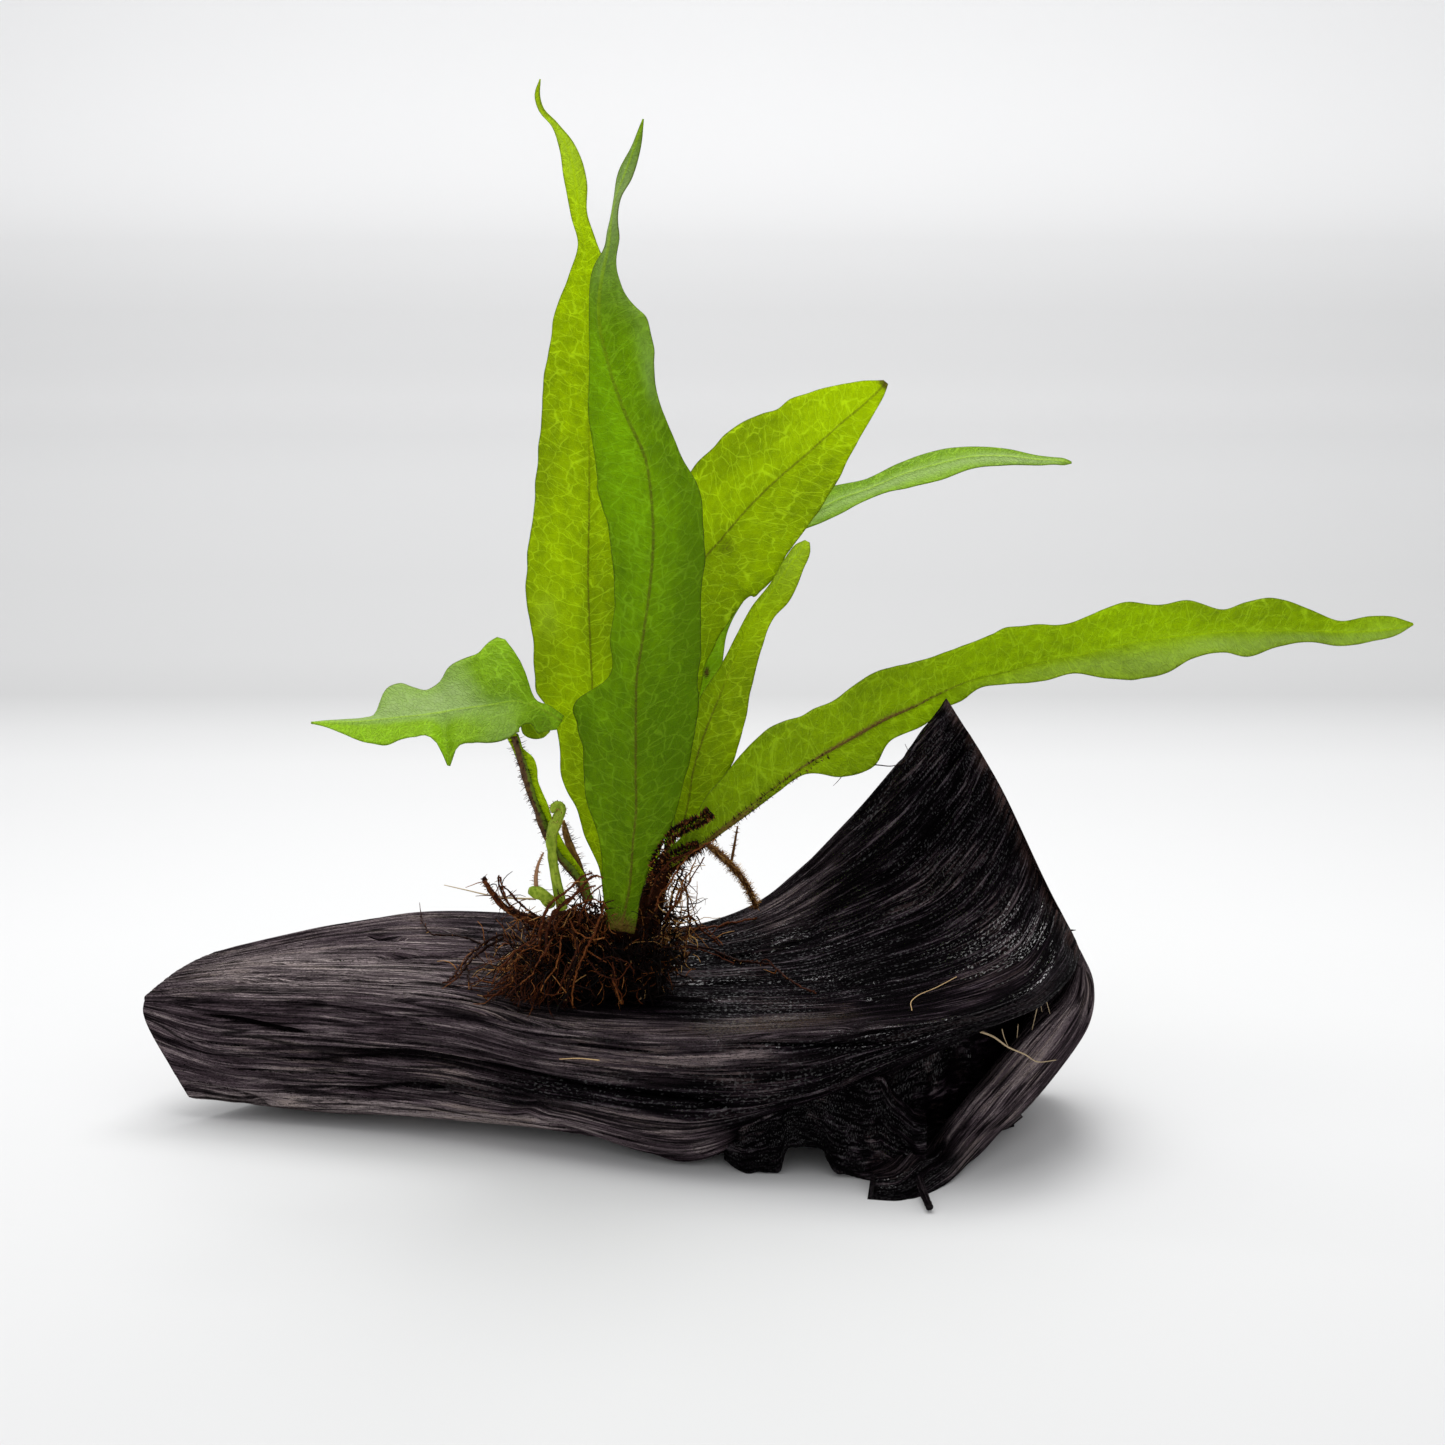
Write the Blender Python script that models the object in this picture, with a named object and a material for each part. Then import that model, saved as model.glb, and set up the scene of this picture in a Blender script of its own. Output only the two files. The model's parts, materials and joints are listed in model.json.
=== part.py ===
"""Java fern grown onto a piece of driftwood.

X runs along the wood, Y away from its front face, Z up.  The origin is on the
flat patch under the wood that the whole thing rests on.  All tables are in
millimetres and become metres when a mesh is made.
"""
import math

import bmesh
import bpy
import numpy as np
from mathutils import Vector

MM = 0.001
GAP = 0.3               # clearance between pieces that touch
LEAF_THICK = 0.8        # fronds, as solids
WOOD_STEPS = 3          # rings between two stations of the wood
WOOD_ROUND = 2          # points between two rails of the wood
LEAF_ACROSS = 4         # strips across a frond
STEM_SIDES = 8
ROOT_SIDES = 5

# Wood: stations along the grain.  Each has ten rails, going round from the
# front top edge: front top, bowl front, bowl back, back top, back, back foot,
# underside back, underside front, front bottom edge, front face.
WOOD = [
    [(-150, 5, 33), (-145, 10.5, 36), (-139.5, 16, 38.5), (-134, 21, 39.5), (-119, 27, 25),
     (-114.5, 24, 9), (-121, 16, 3), (-128, 10, 3), (-139, 2, 5.3), (-149.5, 4, 25.5)],
    [(-137, 2, 34.7), (-132, 11, 37.5), (-126, 20, 39.3), (-120, 29.5, 40), (-108, 34, 26),
     (-104, 30, 8), (-108, 20, 1), (-114, 10, 1), (-125, 0, 5), (-134, 0, 21)],
    [(-120, -1, 35), (-115, 12, 38), (-109, 26, 40), (-102, 38.5, 41), (-94, 42, 26),
     (-90, 37, 7), (-94, 24, -1), (-99, 11, -1), (-109.5, -3, 4.7), (-117, -4, 21)],
    [(-95, -6, 36.4), (-92, 9, 38.5), (-88, 27, 41), (-83, 44.5, 42), (-76, 49, 27),
     (-74, 43, 6), (-76, 27, -1.5), (-80, 11, -1.5), (-90, -6.5, 5.3), (-94, -9, 21)],
    [(-71, -12, 37), (-69, 6, 38.5), (-66, 26, 41), (-63, 45, 42.5), (-60, 50, 27),
     (-58, 44, 5), (-59, 28, -2), (-62, 8, -2), (-70, -11, 5.7), (-71.5, -15, 21.5)],
    [(-40.5, -22, 34), (-39, 0, 36.5), (-37, 23, 38.5), (-36, 45, 40), (-35, 51, 25),
     (-35, 45, 5), (-35, 28, -2), (-37, 4, -2), (-41, -17.5, 5), (-41, -25, 19)],
    [(-5, -33, 36), (-5, -6, 36.5), (-5.5, 21, 38), (-6, 43, 39.8), (-6, 49, 24),
     (-7, 44, 4), (-8, 28, -2), (-10, 0, -2), (-5, -28.5, 1.5), (-6, -36, 19)],
    [(18, -36, 38.5), (19, -9, 37.5), (17, 20, 42), (12, 38, 50), (10, 48, 32),
     (10, 46, 4), (12, 26, -2), (16, -2, -1), (19, -26, 15), (19, -37, 23)],
    [(37, -38, 41.5), (38.5, -10, 40), (37, 18, 50), (33.5, 34, 73), (31, 43, 58),
     (33, 44, 5), (37, 24, -1), (39, -6, 20), (38, -33, 25), (37.5, -40, 32)],
    [(54, -38, 43.5), (56, -12, 45), (52.5, 14, 60), (44, 28, 88), (43, 38, 72),
     (52, 38, 8), (56, 24, 4), (57, -4, 32), (55, -34, 34), (55, -39, 39)],
    [(67, -34, 45.5), (66, -11, 49), (59, 13, 67), (48.5, 26, 94.5), (49, 34, 80),
     (66, 30, 6), (69, 19, 4), (69, -4, 40), (67.5, -31, 39), (68, -35, 42)],
    [(76.5, -28, 47.5), (73.5, -8, 53.5), (64, 13.5, 74), (52, 24, 100), (54, 30, 89),
     (76, 25, 16), (78, 16, 14), (78, -3, 46), (77.5, -25, 41), (78, -29, 44)],
    [(83.5, -18, 51.5), (78.5, -1, 59), (68, 14, 80.5), (55, 22, 105), (57.5, 26, 96),
     (79, 20, 42), (82, 13, 34), (84, 0, 49), (85.5, -15, 44.5), (86.5, -19, 47.5)],
    [(88.5, -2, 54), (82.2, 8, 65), (71.5, 15, 87), (57.5, 20, 109.2), (58.8, 23.2, 105),
     (71, 20, 84), (81.5, 13.5, 61.5), (87.5, 4, 50.5), (91, -5, 46.5), (90.5, -5, 50)],
]
WOOD_CORNERS = (0, 3, 5, 8)
FORK = 8                # the fin rises from the log at this station

# Lower flare of the wood: a thick curved strap from the lip of the bowl down
# to the front foot.  Rails: front inner, front outer, outer, back outer, back
# inner, inner.
RIM = [
    [(90.5, -6, 45), (92, -5, 46), (91.5, 3, 48), (89, 11, 50), (86.5, 11, 48), (88, 2, 46)],
    [(86.8, -9, 38.2), (94.2, -7.5, 40), (94.5, 6, 40), (92, 18, 40), (86, 17, 38), (87, 4, 37.5)],
    [(78.7, -12, 31), (93.5, -8, 31), (94, 6, 29), (91, 21, 28), (82, 19, 27), (80.5, 4, 28)],
    [(67.8, -16, 19.5), (86.6, -10, 19.8), (88.5, 6, 17), (86, 22, 14), (76, 19, 15), (72, 3, 17)],
    [(62, -20, 15), (77.5, -16, 11.7), (81, 2, 7.5), (80, 20, 3), (70, 16, 6), (66, -2, 10)],
    [(54.5, -26, 8), (68.5, -24, 7.5), (71.2, -8, 1.5), (69.5, 8, -1), (63, 6, 4), (58, -10, 6)],
    [(51.5, -32, 6), (61, -31, 3.5), (64, -18, -1), (60, -6, -1), (53, -8, 5), (51, -20, 7)],
    [(47.8, -37, 7), (55, -38, 0.8), (54, -28, -1), (50, -20, -1), (45, -20, 6), (46, -28, 8)],
    [(42, -43, 4.5), (44, -46.5, -1), (46, -38, -1), (43, -31, -1), (40, -30, 5), (40, -36, 5.5)],
    [(35, -43, 3.6), (35, -46, -1), (35.5, -41, -1), (36, -36, -1), (36, -36, 3.6), (35, -39.5, 4)],
]
# Arch between two legs that hangs from the front overhang: outline in X and Z.
ARCH = [(0.5, -1), (15.1, -1), (15.2, 4.6), (17.5, 7.1), (24.3, 7.1), (26.4, 3), (28.5, -1),
        (50, -1), (51, 6), (47, 12), (42, 17), (39, 24), (20, 21), (2, 14)]
ARCH_FRONT = -31.5
ARCH_BACK = -25.0
ARCH_SKEW = -0.12       # the right leg stands further forward
ARCH_FROM = 5           # the X at which the slab keeps its Y
# Back of the hollow between the arch and the strap, an upright wall.
CAVE_FRONT = -29.0
CAVE_SKEW = 0.62
CAVE_THICK = 3.5
CAVE_FROM = 34
CAVE_FOOT = [(34, 0), (76, 0)]
CAVE_TOP = [(34, 30), (50, 37), (60, 40), (76, 36)]
TWIG = [(48, -40, 3), (48.8, -47, 2.2), (49.8, -54, 1.6)]

# Fronds: x, y, z of the midrib, then for the left and right half the width
# and the angle in degrees by which that half leans back.
FRONDS = {
    "frond_tall_front": [
        (-26, -4, 54, 3.6, 0, 3.8, 0), (-23.5, -5, 66, 7, 8, 3.5, 15),
        (-22.5, -7, 77.5, 8.4, 7, 7, 8), (-21.5, -8.5, 88.5, 12.4, 7, 11, 10),
        (-21.5, -10, 98, 13.4, 8, 13.7, 13), (-21.3, -11, 109, 14.3, 8, 14.8, 12),
        (-21.2, -12, 116, 14.6, 4, 15.7, 11), (-21, -12.5, 121.5, 7.4, 8, 15.7, 11),
        (-19.6, -13, 131, 8.2, 10, 15, 15), (-17.8, -13, 143, 8.5, 12, 13.4, 17),
        (-16.7, -12.5, 155.5, 10.5, 10, 13.3, 22), (-17, -12, 166, 12.2, 9, 12.8, 22),
        (-18.5, -11, 176, 12.7, 9, 9.5, 30), (-23.5, -10, 187.5, 9.5, 18, 9.6, 24),
        (-27.4, -9, 199.5, 5.2, 35, 11.5, 20), (-29.3, -8, 210, 3.1, 40, 10.8, 21),
        (-28.5, -6, 219, 2.8, 20, 5.5, 33), (-27, -4, 226, 0.8, 0, 2.8, 30),
        (-26.2, -3, 230.5, 1.3, 50, 1.8, -35), (-25, -2, 236.5, 1.7, 60, 1.7, -60),
        (-23, -1, 242, 2.1, 30, 2, -30), (-20.4, 0, 249, 0.9, 30, 1.3, -20),
        (-18.7, 1, 254.8, 0.2, 0, 0.2, 0)],
    "frond_tall_back": [
        (-28.5, 9, 55, 2, 0, 2.6, 0), (-29.3, 9, 67, 2.6, 0, 4.4, 0),
        (-30.3, 9.5, 76, 5.4, 0, 6.6, 0), (-31.3, 10, 83, 5.9, -9, 9.2, 0),
        (-32.3, 10.5, 91.5, 9, -6, 11.7, 0), (-32.7, 11, 100.5, 8.9, -6, 13.2, 0),
        (-32.9, 11, 108, 11.1, -5, 13.4, 0), (-33, 11, 113.5, 13.9, -4, 12.9, 0),
        (-33.4, 11, 126.5, 14.6, -4, 13.1, 0), (-33.7, 11, 142, 15.5, -7, 13.5, 0),
        (-33.2, 10, 157.5, 14.4, -8, 12.2, 0), (-32.9, 9, 175, 12.6, -9, 10.3, 0),
        (-33, 8, 192.5, 10.8, -11, 8.5, 0), (-32.8, 7, 207, 8.2, -7, 7.3, 0),
        (-32.4, 5.5, 218, 4.8, 0, 5.5, 0), (-32.7, 4, 225.5, 2.2, 25, 2.9, -20),
        (-34, 3, 232.5, 2.5, 25, 2, -30), (-34.8, 2, 240.5, 3.1, 20, 2.7, -22),
        (-36.5, 1, 248, 2.1, 0, 1.9, 0), (-39.4, 0, 253.5, 1, 30, 0.9, -30),
        (-42.6, -1, 257.5, 0.9, 30, 0.6, -30), (-43.3, -1, 260, 0.8, 20, 0.6, -20),
        (-42.7, -1, 264, 0.15, 0, 0.15, 0)],
    "frond_broad": [
        (-21, 9.2, 58, 2, 0, 1.8, 0), (-18.8, 11, 70, 3, 0, 2.6, 0),
        (-17, 16, 91, 6.4, 0, 7, 0), (-15, 19, 107, 8.3, 0, 8.5, 0),
        (-12.4, 21, 120, 11, 5, 8.5, 0), (-9.6, 22, 131.5, 12.6, 5, 11.2, -5),
        (-5.7, 22, 143.5, 15.1, 4, 15.4, -4), (0, 22, 150.5, 17.3, 3, 17, -3),
        (5.7, 21, 157.5, 17.2, 3, 15.2, -4), (13.2, 19, 165.5, 16.6, 4, 13.6, -4),
        (21.4, 17, 173, 14, 4, 10.4, -6), (29.2, 15, 180.5, 10.8, 6, 6.4, -9),
        (35.5, 14, 186, 6.4, 5, 3.3, -9), (38.9, 13, 189.5, 3.2, 5, 1.6, -10),
        (40.3, 13, 191.2, 0.8, 5, 0.7, -10)],
    "frond_slim": [
        (-14, 12, 68, 1.1, 0, 1.1, 0), (-12.8, 17, 80, 2, 0, 2.2, 0),
        (-11, 21, 92, 2.8, 0, 3, 0), (-8.4, 25, 103, 3.6, 0, 4, 0),
        (-5.3, 28, 114.4, 4.2, 0, 5, 0), (-2.2, 31, 125.7, 4.6, 0, 4, 0),
        (5.1, 34, 137, 4.8, 8, 3.4, -8), (12.3, 36, 146.6, 4.8, 16, 3, -16),
        (18.6, 37.5, 151.4, 4.6, 28, 2.9, -30), (24.2, 38.3, 154.2, 5, 38, 3.9, -42),
        (30, 39, 157, 5, 45, 4.6, -50),
        (38.8, 40, 160, 4.2, 55, 3.6, -60), (47.4, 41, 163.5, 4.6, 55, 5.6, -60),
        (56, 41, 166, 6, 60, 6.2, -60), (64, 40, 168, 4.6, 60, 4.6, -60),
        (73, 39, 168.4, 3.3, 60, 3.5, -60), (82, 38, 167.6, 2, 60, 2, -60),
        (87, 37, 167.6, 1.4, 55, 1.4, -55), (90, 37, 167.2, 0.3, 0, 0.2, 0)],
    "frond_young": [
        (-11, 7, 75.5, 1.6, 0, 1.6, 0), (-8.8, 9, 84, 3.3, 0, 4.9, 0),
        (-7.5, 10.5, 92, 4.2, 0, 8.2, 0), (-5, 12, 100.5, 4.8, 0, 9.5, 0),
        (-1.7, 13, 109, 4.4, 0, 8.4, 0), (1.9, 14, 117.5, 2.9, 0, 6.3, 0),
        (5.7, 15, 125.5, 2.6, 0, 4.7, 0), (9, 16, 132.5, 2.1, 0, 4.4, 0),
        (13.5, 17, 139, 1.6, 8, 4.8, -6), (17.6, 18, 145, 2.1, 12, 3.5, -8),
        (20.6, 18, 149, 1.8, 10, 1.9, -10), (21.3, 18, 150.4, 0.6, 0, 0.8, 0)],
    "frond_long": [
        (-13.5, -2.5, 71.5, 2.8, 0, 1.2, 0), (-6, -1, 76, 5.2, 0, 1.1, 0),
        (0, 1.5, 80, 8.5, 0, 1.3, -20), (6.5, 5, 84, 10.8, 3, 1.5, -40),
        (13.4, 9, 88.2, 12.9, 4, 1.5, -40), (20, 13, 92, 13.2, 4, 1.9, -30),
        (27, 17, 95.4, 11.5, 5, 7.3, -8), (34.5, 20, 99, 10.9, 5, 9.4, -4),
        (42, 24.5, 102, 12.5, 5, 6, 4), (50, 28, 104.7, 11.7, 5, 6, 4),
        (58, 29, 108.6, 9.2, 6, 4.3, 0), (65.6, 28, 111.8, 9.7, 6, 4, -60),
        (73.3, 26, 114.1, 11.1, 5, 4.3, -65), (82, 24.5, 117.2, 10.5, 5, 6, -50),
        (89.5, 23, 119, 8.6, 6, 5, -40), (97, 22, 121.2, 9.4, 6, 7.5, -25),
        (104.4, 21, 123.3, 10.8, 5, 9.5, -20), (112, 20, 124.8, 8.5, 6, 9.3, -20),
        (119.3, 19, 125.8, 9, 6, 6.2, -25), (128, 18, 126.8, 5.9, 10, 5.5, -25),
        (133, 17, 127.3, 7.1, 8, 6.8, -20), (141.6, 16, 127.6, 8.2, 7, 4, -25),
        (148.5, 15, 127.8, 5.7, 10, 3, -25), (156.4, 14, 127.8, 2.9, 10, 3.5, -20),
        (164.2, 13, 128.3, 3.8, 8, 2.7, -15), (170.4, 12, 129.3, 2.8, 5, 1.6, -10),
        (174.2, 12, 130.3, 0.3, 0, 0.3, 0)],
    "frond_left": [
        (-40, -4, 109.1, 2.4, -25, 2, 59), (-43.5, -4.5, 111.5, 5.7, -31, 2.5, 57),
        (-47, -5, 113.2, 6.2, -61, 3.6, 63), (-50.5, -5.6, 114.5, 9.5, -55, 13.4, 47),
        (-52.3, -5.9, 114.6, 10.3, -56, 18, 38), (-54, -6.2, 114.4, 11.2, -56, 17.6, 36),
        (-58, -6.8, 113.8, 12, -58, 14.9, 38), (-62.5, -7.2, 113.3, 12.3, -64, 14, 45),
        (-66.5, -7.8, 112.8, 11.8, -60, 12.2, 50), (-69.5, -8, 112.3, 15.3, -47, 9.6, 57),
        (-71.8, -8.3, 112, 10.8, -68, 9, 58), (-76, -8.6, 111.5, 9, -70, 10.2, 54),
        (-79.5, -9, 111.3, 9, -69, 11.3, 54), (-83.3, -9.4, 110.9, 9.2, -66, 8.6, 57),
        (-85.6, -9.7, 110.8, 8.5, -66, 4.6, 84), (-88, -10, 110.6, 7.7, -67, 4, 88), (-93.3, -10.6, 110.5, 4.4, -71, 3.1, 86),
        (-97.6, -11, 110.7, 2.1, -76, 1.6, 82), (-101, -11.5, 110.8, 0.3, -80, 0.3, 80)],
}

# Stems: x, y, z and radius.
STEMS = {
    "rhizome": [
        (-43, 2, 55, 2.4), (-34, 4, 52.5, 3.4), (-27, 4, 51, 3.6), (-20, 3, 53, 3.4),
        (-17.8, 3, 61, 2.7), (-15.6, 3, 67, 2.5), (-12, 2.6, 71.6, 2.4), (-7.6, 2.4, 74.4, 1.9),
        (-4.8, 2.3, 75.6, 1.2)],
    "frond_left_stem": [
        (-34.2, 2, 60.2, 1.3), (-36.3, 2, 65.7, 1.3), (-38.8, 1.6, 69.4, 1.3),
        (-41.5, 1.2, 72.6, 1.2), (-43.4, 0.8, 76.2, 1.2), (-44.8, 0.2, 80, 1.3),
        (-46, -0.5, 84.1, 1.2), (-47.6, -2.2, 89, 1.1), (-48.6, -3.8, 93.6, 1.1),
        (-49.6, -5.2, 98.2, 1.1), (-50.6, -6.2, 102.6, 1), (-51.4, -7.2, 106.5, 0.9)],
    "old_stem": [(-35.8, 6.2, 61.5, 1.1), (-36.5, 6.2, 66.5, 1.1), (-38, 6.2, 70.8, 1.1),
                 (-39.4, 6.2, 74.6, 1), (-40.2, 6, 78, 0.7), (-40.5, 6, 80.4, 0.3)],
    "young_bud": [(-43.3, -5.2, 61.2, 1.2), (-44.2, -5.6, 63, 1.5), (-45.6, -6, 64.6, 1.6),
                  (-47.2, -6.5, 65.4, 1.6), (-48.6, -7, 65.9, 0.9)],
    "aerial_root": [(-3.4, 4.8, 74, 0.75), (-2, 8.5, 71.6, 0.8), (0.9, 14, 67.1, 0.85),
                    (3.8, 19, 62.2, 0.85), (6.5, 25, 56.3, 0.8), (7.9, 30, 51.6, 0.75),
                    (9, 33.5, 47.6, 0.7)],
}
# Side shoots that are one with a stem.
SHOOTS = {
    "aerial_root": [(2.2, 16.2, 65.4, 0.4), (3, 16, 70, 0.35), (3.9, 16, 75.7, 0.2)],
    "young_bud": [(-46.9, -6.3, 65.8, 0.6), (-46.9, -6, 69.7, 0.5), (-46.1, -6, 73.1, 0.35),
                  (-44.9, -6, 75.6, 0.2)],
}
COIL_CENTRE = (-41.6, -4.0, 86.7)
COIL_RADIUS = (1.3, 0.6)
COIL_START = -60.0
COIL_TURN = 290.0
COIL_STEPS = 12
COIL_RISE = 1.6         # each turn stands this much in front of the last
FIDDLE_STEM = [(-40.6, -4, 60, 1.35), (-41.8, -4, 66.5, 1.25), (-42.6, -4, 71.7, 1.15),
               (-43, -4, 75.6, 1.15), (-43, -4, 78.8, 1.35), (-42.4, -4, 81.4, 1.4),
               (-41.5, -4, 83.6, 1.35)]

# Root mass: a lumpy dome on the wood, with the long roots that leave it.
TUFT_CENTRE = (-34, 4, 38)
TUFT_SIZE = (25, 15, 15)
TUFT_LUMP = 0.13
ROOTS = [
    (1.1, [(-40, 3, 49), (-44.7, 2, 53.3), (-51.7, 1, 56.9), (-56.7, 0, 60.5), (-60.4, -2, 67.4)]),
    (0.6, [(-42, 4, 50), (-45.6, 4, 53.7), (-53.3, 2, 58.4), (-55.9, 1, 62.8), (-56.5, 0, 67.5)]),
    (0.5, [(-44, 0, 51), (-48.3, 0, 56.7), (-50.3, -1, 58.9), (-53.2, -1.5, 62.3), (-55.6, -2, 65.4)]),
    (0.5, [(-44.6, 2, 57), (-50.4, 2, 61.2), (-58.9, 2, 61.4), (-63.2, 0, 62.9), (-70.5, -3, 65.8)]),
    (0.7, [(-45.5, -6, 48), (-45, -7.2, 57), (-42.9, -8, 61.8), (-39.9, -8, 64.8), (-36.8, -7.6, 67.2),
           (-34.6, -7, 69.4), (-31.8, -6.4, 70.6)]),
    (0.5, [(-45, -6.5, 55), (-42, -7.5, 60.6), (-38.4, -7.5, 63.9), (-34.6, -7, 65.9), (-31.9, -6.4, 67)]),
    (0.7, [(-48, 4, 46), (-57, 10, 46.5), (-63, 12, 42), (-66.7, 7, 40), (-68.6, 1, 39), (-71, -2, 38.6)]),
    (0.4, [(-66.5, 7, 40), (-65, -1, 38.7), (-63.9, -4, 38.2)]),
    (0.4, [(-50, 12, 44), (-57.5, 20, 42), (-63.6, 21.6, 41.2), (-70.9, 25.6, 41.7), (-76.8, 26, 41.8),
           (-79.5, 32, 42.4), (-82, 40, 42.7)]),
    (0.6, [(-44, -2, 46), (-50, -7, 44), (-56, -8.5, 39.2), (-60.5, -8.5, 37.9)]),
    (0.6, [(-42, 0, 45), (-49, -7, 44), (-53, -10, 37.8)]),
    (0.6, [(-31.5, -5, 55), (-35, -9, 51.7), (-37.2, -11.5, 46.9), (-38.7, -12.5, 42), (-39.6, -12.5, 37.6)]),
    (0.5, [(-27, -6, 47), (-27.5, -10.5, 43.4), (-26.4, -12, 40), (-25.4, -12, 37.4)]),
    (0.5, [(-18, 8, 45), (-12.9, 14, 44), (-8.7, 20, 41.5), (-2.8, 21.5, 39.8), (4.6, 14.8, 39.6),
           (11.8, 9.1, 39.7), (17.8, -1, 39), (23.7, -8.1, 38.7)]),
    (0.5, [(-17.5, 2, 44), (-14.2, 10, 42), (-12.1, 9, 38.4), (-7.6, 4.2, 37.7)]),
    (0.45, [(-14, 4, 47), (-9.6, 4, 50), (-8.9, 4, 56.4), (-9.1, 4, 61.8), (-9.3, 4, 67)]),
    (0.5, [(-15, 3.5, 50), (-13.2, 2.5, 58), (-12, 3, 64), (-9.6, 3, 69)]),
    (0.45, [(-14, 6, 48), (-8.4, 8, 54), (-5.1, 14, 48), (-2.5, 21, 43), (-0.9, 24, 40)]),
    (0.5, [(-16, 14, 44), (-11, 26, 44), (-6.9, 34, 41.3), (0.1, 34.8, 42.2), (5.5, 32, 44), (9.2, 31, 45.4)]),
    (0.6, [(-40, 14, 44), (-47, 22, 45), (-52, 27, 41)]),
    (0.6, [(-24, 15, 44), (-19, 23, 44), (-14, 28, 40.5)]),
]

COLOURS = {
    "wood": (0.030, 0.024, 0.028, 0.55),
    "wood_wet": (0.012, 0.010, 0.013, 0.30),
    "leaf": (0.140, 0.240, 0.010, 0.40),
    "stem": (0.090, 0.130, 0.015, 0.50),
    "rhizome": (0.035, 0.022, 0.012, 0.70),
    "root": (0.110, 0.055, 0.022, 0.75),
}


def unit(v):
    """The vector at length one."""
    length = np.linalg.norm(v)
    return v / length if length > 1e-9 else v


def smooth_rows(rows, per_span):
    """Rows of numbers joined by a smooth curve, with chord-length spacing."""
    rows = np.array(rows, float)
    count = len(rows)
    flat = rows.reshape(count, -1)
    steps = np.sqrt(((flat[1:, :3] - flat[:-1, :3]) ** 2).sum(axis=1))
    if rows.ndim == 3:
        steps = np.sqrt(((rows[1:] - rows[:-1]) ** 2).sum(axis=2)).mean(axis=1)
    t = np.concatenate([[0.0], np.cumsum(np.maximum(steps, 1e-6))])
    slopes = (flat[1:] - flat[:-1]) / (t[1:] - t[:-1])[:, None]
    tangents = np.zeros_like(flat)
    tangents[0] = slopes[0]
    tangents[-1] = slopes[-1]
    for i in range(1, count - 1):
        before = t[i] - t[i - 1]
        after = t[i + 1] - t[i]
        tangents[i] = (slopes[i - 1] * after + slopes[i] * before) / (before + after)
    out = [flat[0]]
    for i in range(count - 1):
        h = t[i + 1] - t[i]
        for k in range(1, per_span + 1):
            s = k / per_span
            out.append((2 * s**3 - 3 * s**2 + 1) * flat[i] + (s**3 - 2 * s**2 + s) * h * tangents[i]
                       + (3 * s**2 - 2 * s**3) * flat[i + 1] + (s**3 - s**2) * h * tangents[i + 1])
    return np.array(out).reshape((-1,) + rows.shape[1:])


def round_ring(rails, per_span, corners):
    """A closed section through its rails, sharp at the corner rails."""
    count = len(rails)
    out = []
    for i in range(count):
        p0, p1 = rails[i - 1], rails[i]
        p2, p3 = rails[(i + 1) % count], rails[(i + 2) % count]
        leave = (p2 - p1) if i in corners else (p2 - p0) / 2
        arrive = (p2 - p1) if (i + 1) % count in corners else (p3 - p1) / 2
        for k in range(per_span):
            s = k / per_span
            out.append((2 * s**3 - 3 * s**2 + 1) * p1 + (s**3 - 2 * s**2 + s) * leave
                       + (3 * s**2 - 2 * s**3) * p2 + (s**3 - s**2) * arrive)
    return np.array(out)


def ladder(ring, top_end):
    """Triangles that close a ring whose first side runs from 0 to top_end."""
    count = len(ring)
    top = list(range(0, top_end + 1))
    low = [0] + list(range(count - 1, top_end - 1, -1))
    i = j = 0
    faces = []
    while i < len(top) - 1 or j < len(low) - 1:
        go_top = i < len(top) - 1 and (j == len(low) - 1 or i / (len(top) - 1) <= j / (len(low) - 1))
        if go_top:
            tri = (top[i], top[i + 1], low[j])
            i += 1
        else:
            tri = (top[i], low[j + 1], low[j])
            j += 1
        if len(set(tri)) == 3:
            faces.append(tuple(ring[k] for k in tri))
    return faces


def material(name, slot):
    """A plain surface in the colour of its slot."""
    red, green, blue, rough = COLOURS[slot]
    mat = bpy.data.materials.new(name)
    mat.use_nodes = True
    shader = mat.node_tree.nodes["Principled BSDF"]
    shader.inputs["Base Color"].default_value = (red, green, blue, 1.0)
    shader.inputs["Roughness"].default_value = rough
    shader.inputs["Metallic"].default_value = 0.0
    mat.diffuse_color = (red, green, blue, 1.0)
    return mat


def solid(name, points, faces, slot):
    """One closed object from points in millimetres."""
    mesh = bpy.data.meshes.new(name)
    mesh.from_pydata([tuple(float(c) * MM for c in p) for p in points], [], faces)
    bm = bmesh.new()
    bm.from_mesh(mesh)
    bmesh.ops.recalc_face_normals(bm, faces=bm.faces)
    if bm.calc_volume(signed=True) < 0:
        bmesh.ops.reverse_faces(bm, faces=bm.faces)
    bmesh.ops.triangulate(bm, faces=bm.faces)
    bm.to_mesh(mesh)
    bm.free()
    mesh.materials.append(material(name, slot))
    mesh.shade_smooth()
    mesh.set_sharp_from_angle(angle=math.radians(40))
    obj = bpy.data.objects.new(name, mesh)
    bpy.context.collection.objects.link(obj)
    return obj


def loft(name, rings, slot, top_end):
    """A closed solid through rings of equal length."""
    count = len(rings[0])
    points = [p for ring in rings for p in ring]
    faces = []
    for r in range(len(rings) - 1):
        for k in range(count):
            a = r * count + k
            b = r * count + (k + 1) % count
            faces.append((a, b, b + count, a + count))
    last = (len(rings) - 1) * count
    faces += [tuple(reversed(f)) for f in ladder(list(range(count)), top_end)]
    faces += ladder(list(range(last, last + count)), top_end)
    return solid(name, points, faces, slot)


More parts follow.
